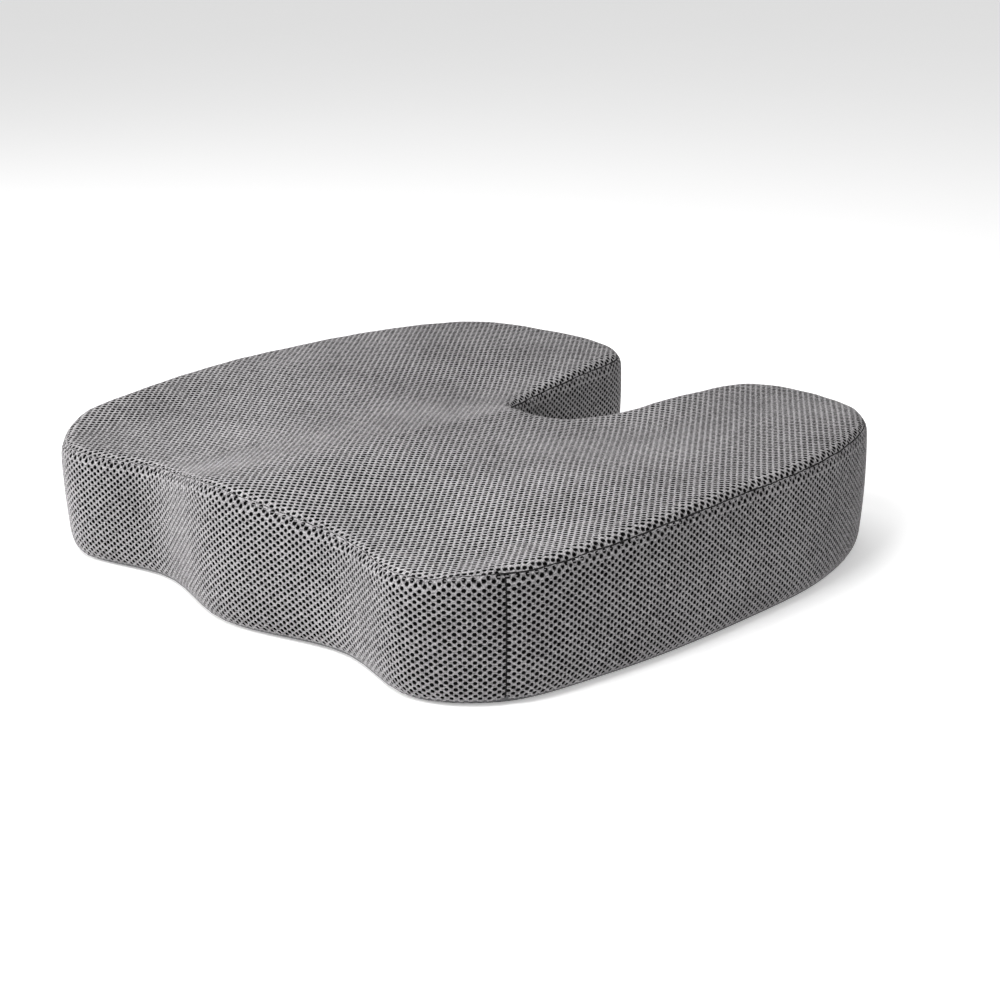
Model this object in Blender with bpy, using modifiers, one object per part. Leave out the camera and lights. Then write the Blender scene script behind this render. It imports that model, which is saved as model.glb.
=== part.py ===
"""Contoured seat cushion with a tailbone cut-out and a zipped spacer-mesh cover.

Run it with blender --background --python part.py, or from Blender's text editor.
The front edge, with its two thigh grooves, faces -Y. The cut-out opens towards +Y.
The cushion lies on the plane Z = 0, and is the same on both sides of X = 0.
Sizes below are millimetres. The scene is metres.
"""

import math

import bmesh
import bpy
import numpy as np
from mathutils import Vector

MM = 0.001
OBJECT_NAME = "seat_cushion"

# Overall size
WIDTH = 450.0
DEPTH = 422.0
CROWN_HEIGHT = 90.0

# Outline of one half
GROOVE_X = 88.0  # a thigh groove's centre, from the middle
GROOVE_SETBACK = 19.0  # how far the groove lies behind the front centre
LOBE_X = 166.0
LOBE_SETBACK = 6.0
FRONT_CORNER_IN = 17.0  # the front corner's seam, in from the widest point
FRONT_CORNER_BACK = 40.0
REAR_CORNER_IN = 41.0
REAR_CORNER_FORWARD = 38.0
REAR_LOBE_X = 120.0
NOTCH_DEPTH = 169.0
NOTCH_MOUTH_HALF = 62.0
NOTCH_WAIST_HALF = 47.0
NOTCH_TIP_HALF = 37.0

# Top surface
GROOVE_DROP = 14.0  # how far the thigh grooves and front lobes lie under the crown
SEAT_DIP = 13.0  # depth of the hollow around the cut-out
REAR_DROP = 5.0
EDGE_ROLL = 5.0  # how far the top panel turns down at its seam
ROLL_WIDTH = 15.0  # how far in from the seam it starts to turn

# Cover, seam bindings, liner and core
PANEL_THICKNESS = 3.0  # spacer mesh
BASE_THICKNESS = 1.5
LINER_THICKNESS = 0.6
BINDING_THICKNESS = 0.9
BINDING_HEIGHT = 8.0
CORNER_BINDING_WIDTH = 9.0
GAP = 0.3
LAYER_GAP = 0.5  # under the curved top, where facets need more than GAP

# Zip in the underside, across the cushion in front of the cut-out
ZIP_Y = -62.0
ZIP_LENGTH = 344.0
ZIP_SLOT_HALF = 22.0  # from the zip's centre line to the base panels' hems
TAPE_THICKNESS = 0.6
TAPE_FLANGE = 6.0
TAPE_EDGE = 3.2  # from the centre line to the tape's inner edge
TAPE_LIFT = 6.0  # height of the zip's middle, clear of the floor
RECESS_HALF = 31.0
RECESS_HEIGHT = 10.8
RECESS_END = 18.0  # the recess runs this far past each end of the zip
CHAIN_PITCH = 3.0
CHAIN_WIRE = 0.7
CHAIN_OUTER = 2.5
CHAIN_INNER = -0.5  # each coil's tips reach past the centre line
SLIDER_LENGTH = 11.0
SLIDER_WIDTH = 9.0
SLIDER_WING = 1.1
SLIDER_SPACE = 2.6
SLIDER_INSET = 12.0  # the closed slider's centre, in from the tape's end
BAIL_WIRE = 0.9
BAIL_HALF = 3.2
PULL_LENGTH = 24.0
PULL_WIDTH = 7.0
PULL_THICKNESS = 0.9
STOP_SIZE = (2.6, 2.0, 2.2)

# Facets
FRONT_CELLS = 14
SIDE_CELLS = 28

# Where the outline's corner points fall in the list that half_outline_points() returns
FRONT_CORNER_INDEX = 3
REAR_CORNER_INDEX = 7
MOUTH_INDEX = 9
TIP_INDEX = 13
SAMPLES_PER_SPAN = 40

FABRIC_GREY = (0.22, 0.21, 0.215)
COLOURS = {
    "mesh_fabric": (FABRIC_GREY, 0.85, 0.0),
    "base_fabric": ((0.035, 0.035, 0.038), 0.8, 0.0),
    "liner_fabric": ((0.72, 0.71, 0.68), 0.9, 0.0),
    "foam": ((0.80, 0.74, 0.55), 0.9, 0.0),
    "binding": ((0.12, 0.12, 0.125), 0.8, 0.0),
    "zip_tape": ((0.03, 0.03, 0.033), 0.8, 0.0),
    "zip_coil": ((0.05, 0.05, 0.055), 0.35, 0.0),
    "zip_metal": ((0.30, 0.30, 0.31), 0.35, 1.0),
    "label": ((0.85, 0.85, 0.84), 0.7, 0.0),
}


# ---------------------------------------------------------------- outline


def half_outline_points():
    """The outline's points, from the front centre round to the tip of the cut-out."""
    half = WIDTH / 2
    front = -DEPTH / 2
    rear = DEPTH / 2
    tip = rear - NOTCH_DEPTH
    return [
        (0.0, front),
        (GROOVE_X, front + GROOVE_SETBACK),
        (LOBE_X, front + LOBE_SETBACK),
        (half - FRONT_CORNER_IN, front + FRONT_CORNER_BACK),
        (half - 2.0, front + 113.0),
        (half, 5.0),
        (half - 10.0, rear - 108.0),
        (half - REAR_CORNER_IN, rear - REAR_CORNER_FORWARD),
        (REAR_LOBE_X, rear - 1.0),
        (NOTCH_MOUTH_HALF, rear - 10.0),
        (NOTCH_WAIST_HALF, tip + 105.0),
        (NOTCH_TIP_HALF, tip + 44.0),
        (0.62 * NOTCH_TIP_HALF, tip + 11.0),
        (0.0, tip),
    ]


def outline_spans():
    """One array of points for each span of the outline, on a smooth curve through its points."""
    given = half_outline_points()
    mirrored_start = (-given[1][0], given[1][1])
    mirrored_end = (-given[-2][0], given[-2][1])
    points = np.array([mirrored_start] + given + [mirrored_end])
    knots = np.concatenate([[0.0], np.cumsum(np.linalg.norm(np.diff(points, axis=0), axis=1) ** 0.5)])
    spans = []
    for k in range(1, len(points) - 2):
        p0, p1, p2, p3 = points[k - 1 : k + 3]
        t0, t1, t2, t3 = knots[k - 1 : k + 3]
        t = np.linspace(t1, t2, SAMPLES_PER_SPAN + 1)[:, None]
        a1 = (t1 - t) / (t1 - t0) * p0 + (t - t0) / (t1 - t0) * p1
        a2 = (t2 - t) / (t2 - t1) * p1 + (t - t1) / (t2 - t1) * p2
        a3 = (t3 - t) / (t3 - t2) * p2 + (t - t2) / (t3 - t2) * p3
        b1 = (t2 - t) / (t2 - t0) * a1 + (t - t0) / (t2 - t0) * a2
        b2 = (t3 - t) / (t3 - t1) * a2 + (t - t1) / (t3 - t1) * a3
        spans.append((t2 - t) / (t2 - t1) * b1 + (t - t1) / (t2 - t1) * b2)
    return spans


def stretch(first, last):
    """The outline from one of its points to a later one, centred front to back."""
    spans = outline_spans()
    every = np.concatenate(spans)
    middle = (every[:, 1].min() + every[:, 1].max()) / 2
    widest = every[:, 0].max()
    part = [spans[first]] + [span[1:] for span in spans[first + 1 : last]]
    points = np.concatenate(part) - (0.0, middle)
    points[:, 0] *= (WIDTH / 2) / widest
    return points


def lengths_along(points):
    """The distance along the line to each of its points."""
    return np.concatenate([[0.0], np.cumsum(np.linalg.norm(np.diff(points, axis=0), axis=1))])


def spaced(points, cells):
    """The line's points, evenly spaced, with one more point than cells."""
    along = lengths_along(points)
    at = np.linspace(0.0, along[-1], cells + 1)
    return np.column_stack([np.interp(at, along, points[:, axis]) for axis in (0, 1)])


def moved_in(rim, inset):
    """The rim from front centre to cut-out tip moved into the cushion, each facet by the same inset."""
    before = np.array([(-rim[1][0], rim[1][1])])
    after = np.array([(-rim[-2][0], rim[-2][1])])
    ahead = np.diff(np.vstack([before, rim, after]), axis=0)
    ahead /= np.linalg.norm(ahead, axis=1)[:, None]
    outward = np.column_stack([ahead[:, 1], -ahead[:, 0]])
    bisector = outward[:-1] + outward[1:]
    bisector /= np.linalg.norm(bisector, axis=1)[:, None]
    spread = (bisector * outward[1:]).sum(axis=1)
    moved = rim - bisector * (inset / spread)[:, None]
    moved[[0, -1], 0] = 0.0
    return moved


def edge_lines():
    """The four sides of one half: front edge, outer side, rear edge and inner side."""
    front = spaced(stretch(0, FRONT_CORNER_INDEX), FRONT_CELLS)
    side = spaced(stretch(FRONT_CORNER_INDEX, REAR_CORNER_INDEX), SIDE_CELLS)
    rear = spaced(stretch(REAR_CORNER_INDEX, MOUTH_INDEX), FRONT_CELLS)[::-1]
    notch = stretch(MOUTH_INDEX, TIP_INDEX)
    centre = abs(front[0][1] - notch[-1][1])
    notch_length = lengths_along(notch)[-1]
    notch_cells = round(SIDE_CELLS * notch_length / (notch_length + centre))
    notch = spaced(notch, notch_cells)[::-1]
    centre_y = np.linspace(front[0][1], notch[0][1], SIDE_CELLS - notch_cells + 1)
    centre_line = np.column_stack([np.zeros_like(centre_y), centre_y])
    inner = np.vstack([centre_line, notch[1:]])
    return front, side, rear, inner, SIDE_CELLS - notch_cells


def rim_line():
    """The outline's facet corners from the front centre to the cut-out's tip, the same for every layer."""
    front, side, rear, inner, centre_cells = edge_lines()
    return np.vstack([front, side[1:], rear[::-1][1:], inner[::-1][1 : SIDE_CELLS - centre_cells + 1]])


# ---------------------------------------------------------------- top surface


def smoothstep(low, high, value):
    share = min(max((value - low) / (high - low), 0.0), 1.0)
    return share * share * (3.0 - 2.0 * share)


def top_height(x, y):
    """Height of the cover's top, before it turns down at the seam."""
    aside = abs(x) / (WIDTH / 2)
    along = y / (DEPTH / 2)
    from_middle = 1.0 - math.exp(-((aside / 0.258) ** 2))
    groove = GROOVE_DROP * from_middle * (1.0 - 0.5 * smoothstep(0.75, 1.0, aside))
    groove *= smoothstep(0.02, -0.9, along) if along < 0.02 else 0.0
    dip = SEAT_DIP * math.exp(-(((aside - 0.267) / 0.333) ** 2)) * math.exp(-(((along - 0.33) / 0.52) ** 2))
    rear = REAR_DROP * smoothstep(0.57, 1.0, along) * (1.0 - smoothstep(0.53, 0.89, aside))
    return CROWN_HEIGHT - groove - dip - rear


def rim_height(x, y):
    return top_height(x, y) - EDGE_ROLL


# ---------------------------------------------------------------- Blender helpers


def clear_scene():
    for obj in list(bpy.data.objects):
        bpy.data.objects.remove(obj, do_unlink=True)


def collection_named(name):
    made = bpy.data.collections.new(name)
    bpy.context.scene.collection.children.link(made)
    return made


def material_named(name):
    found = bpy.data.materials.get(name)
    if found:
        return found
    colour, roughness, metallic = COLOURS[name]
    made = bpy.data.materials.new(name)
    made.use_nodes = True
    shader = made.node_tree.nodes["Principled BSDF"]
    shader.inputs["Base Color"].default_value = (*colour, 1.0)
    shader.inputs["Roughness"].default_value = roughness
    shader.inputs["Metallic"].default_value = metallic
    made.diffuse_color = (*colour, 1.0)
    return made


def object_from(bm, name, collection, material):
    """An object made from a bmesh in millimetres."""
    bmesh.ops.scale(bm, verts=bm.verts, vec=(MM, MM, MM))
    mesh = bpy.data.meshes.new(name)
    bm.to_mesh(mesh)
    bm.free()
    obj = bpy.data.objects.new(name, mesh)
    collection.objects.link(obj)
    if material:
        mesh.materials.append(material_named(material))
    return obj


def add_mirror(obj):
    mirror = obj.modifiers.new("Mirror", "MIRROR")
    mirror.use_axis = (True, False, False)
    mirror.use_clip = False
    mirror.merge_threshold = 0.00001


def add_solidify(obj, thickness):
    """Thickens the surface on the side that its faces point away from."""
    shell = obj.modifiers.new("Solidify", "SOLIDIFY")
    shell.thickness = thickness * MM
    shell.offset = -1.0
    shell.use_even_offset = True


def add_boolean(obj, cutter, operation):
    cut = obj.modifiers.new(f"{operation.title()} {cutter.name}", "BOOLEAN")
    cut.object = cutter
    cut.operation = operation
    cut.solver = "EXACT"


def box_cutter(name, low, high, cutters):
    bm = bmesh.new()
    bmesh.ops.create_cube(bm, size=1.0)
    size = np.subtract(high, low)
    bmesh.ops.scale(bm, verts=bm.verts, vec=size)
    bmesh.ops.translate(bm, verts=bm.verts, vec=Vector(np.add(low, high) / 2))
    obj = object_from(bm, name, cutters, None)
    obj.hide_render = True
    obj.display_type = "WIRE"
    return obj


# ---------------------------------------------------------------- surfaces of one half


def cell_corners():
    """Where the corners of a grid over one half lie, the same for every layer.

    The corners next to the rim keep ROLL_WIDTH from it, and the rest are evened out between them.
    It also returns how many cells lie on the centre line.
    """
    front, side, rear, inner, centre_cells = edge_lines()
    u = np.linspace(0.0, 1.0, FRONT_CELLS + 1)[:, None, None]
    v = np.linspace(0.0, 1.0, SIDE_CELLS + 1)[None, :, None]
    sides = (1 - v) * front[:, None] + v * rear[:, None] + (1 - u) * inner[None] + u * side[None]
    ends = (1 - v) * ((1 - u) * front[0] + u * front[-1]) + v * ((1 - u) * rear[0] + u * rear[-1])
    grid = sides - ends
    rolled = moved_in(rim_line(), ROLL_WIDTH)
    right = FRONT_CELLS + SIDE_CELLS
    mouth = right + FRONT_CELLS
    grid[1:-1, 1] = rolled[1:FRONT_CELLS]
    grid[-2, 2:-2] = rolled[FRONT_CELLS + 2 : right - 1]
    grid[1:-1, -2] = rolled[right + 1 : mouth][::-1]
    grid[1, centre_cells + 1 : -2] = rolled[mouth + 2 : -1][::-1]
    grid[-2, 1] = rolled[FRONT_CELLS]
    grid[-2, -2] = rolled[right]
    grid[1, -2] = rolled[mouth]
    grid[0, centre_cells - 1] = rolled[-1]
    grid[1, centre_cells] = (rolled[-1] + rolled[-2]) / 2
    for _ in range(60):
        even = (grid[1:-3, 2:-2] + grid[3:-1, 2:-2] + grid[2:-2, 1:-3] + grid[2:-2, 3:-1]) / 4
        grid[2:-2, 2:-2] = even
        beside = grid[1, 2:centre_cells]
        beside[:] = (beside + grid[0, 2:centre_cells] + grid[2, 2:centre_cells]) / 3
    grid[0, 0:centre_cells, 1] = np.linspace(front[0][1], rolled[-1][1], centre_cells)
    return grid, centre_cells


def patch(bm, inset, height_of):
    """A grid over one half of the cushion, its edge moved in from the outline by inset.

    It returns the edge's corners along the outline, in order.
    """
    grid, centre_cells = cell_corners()
    place = {}
    made = bmesh.ops.create_grid(bm, x_segments=FRONT_CELLS, y_segments=SIDE_CELLS, size=0.5)
    for vert in made["verts"]:
        i = round((vert.co.x + 0.5) * FRONT_CELLS)
        j = round((vert.co.y + 0.5) * SIDE_CELLS)
        vert.co.xy = grid[i, j]
        vert.co.z = height_of(*grid[i, j])
        place[i, j] = vert
    around = [place[i, 0] for i in range(FRONT_CELLS + 1)]
    around += [place[FRONT_CELLS, j] for j in range(1, SIDE_CELLS + 1)]
    around += [place[i, SIDE_CELLS] for i in range(FRONT_CELLS - 1, -1, -1)]
    around += [place[0, j] for j in range(SIDE_CELLS - 1, centre_cells - 1, -1)]
    for vert, (x, y) in zip(around, moved_in(rim_line(), inset)):
        vert.co.xy = (x, y)
        vert.co.z = height_of(x, y) - EDGE_ROLL
    return around


def wall_down(bm, around, bottom):
    """Faces from the edge down to a level. It returns the new lower edge's corners."""
    edges = []
    for first, second in zip(around, around[1:]):
        edges.append(bm.edges.get((first, second)))
    made = bmesh.ops.extrude_edge_only(bm, edges=edges)
    lower = [item for item in made["geom"] if isinstance(item, bmesh.types.BMVert)]
    for vert in lower:
        vert.co.z = bottom
    return lower


def flat_half(name, inset, level, collection, material, facing=1.0):
    """One flat face with the outline of half the cushion."""
    bm = bmesh.new()
    rim = moved_in(rim_line(), inset)
    verts = [bm.verts.new((x, y, level)) for x, y in rim]
    face = bm.faces.new(verts)
    face.normal_update()
    if face.normal.z * facing < 0:
        face.normal_flip()
    obj = object_from(bm, name, collection, material)
    add_mirror(obj)
    return obj


def strip_half(name, line, bottom, top_of, collection, material):
    """A standing strip along a stretch of outline, its faces pointing out of the cushion."""
    bm = bmesh.new()
    lower = [bm.verts.new((x, y, bottom)) for x, y in line]
    upper = [bm.verts.new((x, y, top_of(x, y))) for x, y in line]
    for k in range(len(line) - 1):
        bm.faces.new((lower[k], lower[k + 1], upper[k + 1], upper[k]))
    return object_from(bm, name, collection, material)


# ---------------------------------------------------------------- soft parts


def binding_inset():
    return PANEL_THICKNESS + GAP


def liner_inset():
    return binding_inset() + BINDING_THICKNESS + GAP


def foam_inset():
    return liner_inset() + LINER_THICKNESS + LAYER_GAP


def liner_drop():
    return PANEL_THICKNESS + LAYER_GAP


def foam_drop():
    return liner_drop() + LINER_THICKNESS + LAYER_GAP


def band_top(x, y):
    """The top of the side bands, under the top panel's edge."""
    return rim_height(x, y) - PANEL_THICKNESS - LAYER_GAP


def band_bottom():
    return BASE_THICKNESS + GAP


def recess_end():
    return ZIP_LENGTH / 2 + RECESS_END


def recess_cutter(cutters):
    low = (-recess_end(), ZIP_Y - RECESS_HALF, -10.0)
    high = (recess_end(), ZIP_Y + RECESS_HALF, RECESS_HEIGHT)
    return box_cutter("recess_cutter", low, high, cutters)


def make_foam(parts, cutters):
    bm = bmesh.new()
    around = patch(bm, foam_inset(), lambda x, y: top_height(x, y) - foam_drop())
    corners = wall_down(bm, around, band_bottom() + LINER_THICKNESS + GAP)
    hem = [edge for edge in bm.edges if edge.verts[0] in corners and edge.verts[1] in corners]
    hem.append(bm.edges.new([vert for vert in corners if abs(vert.co.x) < 1e-6]))
    bmesh.ops.contextual_create(bm, geom=hem)
    bmesh.ops.recalc_face_normals(bm, faces=bm.faces)
    obj = object_from(bm, "foam_core", parts, "foam")
    if obj.data.polygons[0].normal.z < 0:
        obj.data.flip_normals()
    add_mirror(obj)
    add_boolean(obj, bpy.data.objects["recess_cutter"], "DIFFERENCE")


def make_liner(parts):
    bm = bmesh.new()
    around = patch(bm, liner_inset(), lambda x, y: top_height(x, y) - liner_drop())
    wall_down(bm, around, band_bottom() + LINER_THICKNESS + GAP)
    bmesh.ops.recalc_face_normals(bm, faces=bm.faces)
    upper = object_from(bm, "liner_upper", parts, "liner_fabric")
    if upper.data.polygons[0].normal.z < 0:
        upper.data.flip_normals()
    add_mirror(upper)
    add_solidify(upper, LINER_THICKNESS)
    level = band_bottom() + LINER_THICKNESS
    base = flat_half("liner_base", liner_inset(), level, parts, "liner_fabric")
    add_solidify(base, LINER_THICKNESS)
    add_boolean(base, bpy.data.objects["recess_cutter"], "DIFFERENCE")


def make_top_panel(parts):
    bm = bmesh.new()
    patch(bm, 0.0, top_height)
    bmesh.ops.recalc_face_normals(bm, faces=bm.faces)
    panel = object_from(bm, "cover_top_panel", parts, "mesh_fabric")
    if panel.data.polygons[0].normal.z < 0:
        panel.data.flip_normals()
    add_mirror(panel)
    add_solidify(panel, PANEL_THICKNESS)


def front_region(name, margin, cutters):
    """Everything in front of the two corner seams, grown by margin past them."""
    rim = rim_line()
    inner = moved_in(rim, PANEL_THICKNESS)[FRONT_CELLS]
    corner = rim[FRONT_CELLS]
    outward = (corner - inner) / np.linalg.norm(corner - inner)
    behind = np.array([-outward[1], outward[0]])
    start = corner + behind * margin
    near = start - outward * 3 * PANEL_THICKNESS
    far = start + outward * WIDTH
    outline = [(-near[0], near[1]), (-far[0], far[1]), (-far[0], -3 * DEPTH), (far[0], -3 * DEPTH), tuple(far)]
    outline.append(tuple(near))
    region = extruded_outline(name, outline, -10.0, CROWN_HEIGHT + 10.0, cutters, None)
    region.hide_render = True
    region.display_type = "WIRE"
    return region


def make_bands(parts, cutters):
    """One band round the front and one round the sides, rear and cut-out, meeting at the corner seams."""
    cuts = (("cover_front_band", -GAP / 2, "INTERSECT"), ("cover_rear_band", GAP / 2, "DIFFERENCE"))
    for name, margin, operation in cuts:
        band = strip_half(name, rim_line(), band_bottom(), band_top, parts, "mesh_fabric")
        add_mirror(band)
        add_solidify(band, PANEL_THICKNESS)
        add_boolean(band, front_region(f"{name}_region", margin, cutters), operation)


def make_bindings(parts):
    """Bound seam edges inside the cover: along the top, along the base and up each front corner."""
    whole = moved_in(rim_line(), binding_inset())
    inset_top = LAYER_GAP + PANEL_THICKNESS / 2
    top_of = {tuple(np.round(point, 6)): band_top(*outer) - inset_top for point, outer in zip(whole, rim_line())}

    def top_edge(x, y):
        return top_of[tuple(np.round((x, y), 6))]

    base_low = band_bottom() + GAP
    base = strip_half("base_seam_binding", whole, base_low, lambda x, y: base_low + BINDING_HEIGHT, parts, "binding")
    top = strip_half("top_seam_binding", whole, 0.0, top_edge, parts, "binding")
    for vert in top.data.vertices:
        if vert.co.z == 0.0:
            x, y = vert.co.x / MM, vert.co.y / MM
            nearest = whole[np.argmin(np.hypot(whole[:, 0] - x, whole[:, 1] - y))]
            vert.co.z = (top_edge(*nearest) - BINDING_HEIGHT) * MM
    for strip in (base, top):
        add_mirror(strip)
        add_solidify(strip, BINDING_THICKNESS)

    inner = whole[FRONT_CELLS]
    ends = []
    for neighbour in (whole[FRONT_CELLS - 1], whole[FRONT_CELLS + 1]):
        along = (neighbour - inner) / np.linalg.norm(neighbour - inner)
        ends.append(inner + along * CORNER_BINDING_WIDTH / 2)
    line = [ends[0], inner, ends[1]]
    low = base_low + BINDING_HEIGHT + GAP
    high = top_edge(*inner) - BINDING_HEIGHT - 2 * GAP
    for side, name in ((1.0, "corner_seam_binding_right"), (-1.0, "corner_seam_binding_left")):
        strip = strip_half(name, [(side * x, y) for x, y in line], low, lambda x, y: high, parts, "binding")
        if side < 0:
            strip.data.flip_normals()
        add_solidify(strip, BINDING_THICKNESS)


def make_base(parts, cutters):
    """The underside: a front and a rear panel, and a short tab at each end of the zip between them."""
    far = WIDTH + DEPTH
    hem = ZIP_SLOT_HALF
    cuts = {
        "cover_base_front": ((-far, -far, -10.0), (far, ZIP_Y - hem, 10.0)),
        "cover_base_rear": ((-far, ZIP_Y + hem, -10.0), (far, far, 10.0)),
        "zip_end_tab_left": ((-far, ZIP_Y - hem + GAP, -10.0), (-ZIP_LENGTH / 2 + 4.0, ZIP_Y + hem - GAP, 10.0)),
        "zip_end_tab_right": ((ZIP_LENGTH / 2 - 4.0, ZIP_Y - hem + GAP, -10.0), (far, ZIP_Y + hem - GAP, 10.0)),
    }
    for name, (low, high) in cuts.items():
        plate = flat_half(name, 0.0, BASE_THICKNESS, parts, "base_fabric")
        add_solidify(plate, BASE_THICKNESS)
        add_boolean(plate, box_cutter(f"{name}_region", low, high, cutters), "INTERSECT")


# ---------------------------------------------------------------- zip


def slider_x():
    return ZIP_LENGTH / 2 - SLIDER_INSET


def pull_axis_z():
    """Height of the pull's hinge: between the slider's lower wing and its bail."""
    return TAPE_LIFT - SLIDER_SPACE / 2 - SLIDER_WING - GAP - PULL_THICKNESS / 2


def make_tapes(parts):
    """Each tape lies on its base panel's hem, rises into the recess and ends at the coil."""
    side_level = BASE_THICKNESS + GAP
    middle_level = TAPE_LIFT - TAPE_THICKNESS / 2
    profile = [
        (ZIP_SLOT_HALF + TAPE_FLANGE, side_level),
        (ZIP_SLOT_HALF - 1.0, side_level),
        (ZIP_SLOT_HALF - 5.0, middle_level),
        (TAPE_EDGE, middle_level),
    ]
    half = ZIP_LENGTH / 2
    for name, side in (("zip_tape_front", -1.0), ("zip_tape_rear", 1.0)):
        bm = bmesh.new()
        verts = [bm.verts.new((-half, ZIP_Y + side * y, z)) for y, z in profile]
        edges = [bm.edges.new(pair) for pair in zip(verts, verts[1:])]
        made = bmesh.ops.extrude_edge_only(bm, edges=edges)
        moved = [item for item in made["geom"] if isinstance(item, bmesh.types.BMVert)]
        bmesh.ops.translate(bm, verts=moved, vec=(ZIP_LENGTH, 0.0, 0.0))
        bmesh.ops.recalc_face_normals(bm, faces=bm.faces)
        tape = object_from(bm, name, parts, "zip_tape")
        if tape.data.polygons[0].normal.z > 0:
            tape.data.flip_normals()
        add_solidify(tape, TAPE_THICKNESS)


def wire(name, points, diameter, parts, material, sides=1):
    """A round wire through the points, as a mesh with closed ends."""
    curve = bpy.data.curves.new(name, "CURVE")
    curve.dimensions = "3D"
    curve.bevel_depth = diameter / 2 * MM
    curve.bevel_resolution = sides
    curve.use_fill_caps = True
    spline = curve.splines.new("POLY")
    spline.points.add(len(points) - 1)
    for point, place in zip(spline.points, points):
        point.co = (*(Vector(place) * MM), 1.0)
    obj = bpy.data.objects.new(name, curve)
    parts.objects.link(obj)
    if material:
        curve.materials.append(material_named(material))
    return obj


def make_chains(parts):
    """The two coils, as zigzag wires whose tips pass between each other."""
    start = -ZIP_LENGTH / 2 + SLIDER_INSET
    count = int((slider_x() - 2.0 - start) / CHAIN_PITCH)
    for name, side, shift in (("zip_chain_front", -1.0, 0.5), ("zip_chain_rear", 1.0, 0.0)):
        points = []
        for k in range(count):
            x = start + (k + shift) * CHAIN_PITCH
            points.append((x, ZIP_Y + side * CHAIN_INNER, TAPE_LIFT))
            points.append((x + CHAIN_PITCH / 2, ZIP_Y + side * CHAIN_OUTER, TAPE_LIFT))
        wire(name, points, CHAIN_WIRE, parts, "zip_coil", sides=0)


def extruded_outline(name, outline, low, high, collection, material):
    """A flat outline made solid between two levels."""
    bm = bmesh.new()
    face = bm.faces.new([bm.verts.new((x, y, low)) for x, y in outline])
    made = bmesh.ops.extrude_face_region(bm, geom=[face])
    moved = [item for item in made["geom"] if isinstance(item, bmesh.types.BMVert)]
    bmesh.ops.translate(bm, verts=moved, vec=(0.0, 0.0, high - low))
    bmesh.ops.recalc_face_normals(bm, faces=bm.faces)
    return object_from(bm, name, collection, material)


def mesh_of_wire(curve_object, cutters):
    """The wire as a mesh helper that a Boolean can take."""
    bpy.context.view_layer.update()
    graph = bpy.context.evaluated_depsgraph_get()
    mesh = bpy.data.meshes.new_from_object(curve_object.evaluated_get(graph))
    bm = bmesh.new()
    bm.from_mesh(mesh)
    bmesh.ops.remove_doubles(bm, verts=bm.verts, dist=0.000001)
    bmesh.ops.recalc_face_normals(bm, faces=bm.faces)
    bm.to_mesh(mesh)
    bm.free()
    name = curve_object.name
    placed = curve_object.matrix_world.copy()
    bpy.data.objects.remove(curve_object, do_unlink=True)
    helper = bpy.data.objects.new(name, mesh)
    helper.matrix_world = placed
    cutters.objects.link(helper)
    helper.hide_render = True
    helper.display_type = "WIRE"
    return helper


def make_slider(parts, cutters):
    """The slider: two wings joined by a post at its leading end, with a bail under them."""
    half, width = SLIDER_LENGTH / 2, SLIDER_WIDTH / 2
    shield = [
        (-half, -0.55 * width),
        (-0.2 * half, -0.7 * width),
        (0.3 * half, -width),
        (half, -0.8 * width),
        (half, 0.8 * width),
        (0.3 * half, width),
        (-0.2 * half, 0.7 * width),
        (-half, 0.55 * width),
    ]
    outline = [(slider_x() + x, ZIP_Y + y) for x, y in shield]
    low_face = TAPE_LIFT - SLIDER_SPACE / 2
    high_face = TAPE_LIFT + SLIDER_SPACE / 2
    slider = extruded_outline("zip_slider", outline, low_face - SLIDER_WING, low_face, parts, "zip_metal")
    upper = extruded_outline("slider_upper_wing", outline, high_face, high_face + SLIDER_WING, cutters, None)
    post = [(slider_x() + 0.55 * half + x, ZIP_Y + y) for x, y in ((-1.6, 0.0), (0.8, -1.0), (1.4, 0.0), (0.8, 1.0))]
    divider = extruded_outline("slider_post", post, low_face - 0.5, high_face + 0.5, cutters, None)
    top = low_face - SLIDER_WING
    apex = pull_axis_z() - PULL_THICKNESS / 2 - GAP - BAIL_WIRE / 2
    path = []
    for step in range(9):
        turn = math.pi * step / 8
        drop = (top + 0.5 - apex) * math.sin(turn) ** 0.6
        path.append((slider_x() - BAIL_HALF * math.cos(turn), ZIP_Y, top + 0.5 - drop))
    bail = mesh_of_wire(wire("slider_bail", path, BAIL_WIRE, parts, None, sides=1), cutters)
    for helper in (upper, divider):
        helper.hide_render = True
        helper.display_type = "WIRE"
    for helper in (divider, upper, bail):
        add_boolean(slider, helper, "UNION")
    return slider


def make_pull(parts, cutters):
    """A flat tab whose eye hangs on the slider's bail. Its hinge lies along Y through the eye's bar."""
    low = pull_axis_z() - PULL_THICKNESS / 2
    bar = PULL_THICKNESS / 2
    half = PULL_WIDTH / 2
    eye_length = BAIL_HALF + BAIL_WIRE / 2 + 2 * GAP
    tab = [(bar, -half), (bar, half), (-PULL_LENGTH + 2.0, half), (-PULL_LENGTH, half - 2.0)]
    tab += [(-PULL_LENGTH, 2.0 - half), (-PULL_LENGTH + 2.0, -half)]
    outline = [(slider_x() + x, ZIP_Y + y) for x, y in tab]
    pull = extruded_outline("zip_pull", outline, low, low + PULL_THICKNESS, parts, "zip_metal")
    eye_half = half - 1.3
    eye_low = (slider_x() - bar - eye_length, ZIP_Y - eye_half, low - 5.0)
    eye_high = (slider_x() - bar, ZIP_Y + eye_half, low + 5.0)
    add_boolean(pull, box_cutter("pull_eye", eye_low, eye_high, cutters), "DIFFERENCE")
    hinge = bpy.data.objects.new("pull_hinge", None)
    hinge.location = Vector((slider_x(), ZIP_Y, pull_axis_z())) * MM
    parts.objects.link(hinge)
    pull.data.transform(hinge_to_local(hinge))
    pull.parent = hinge
    return hinge


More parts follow.
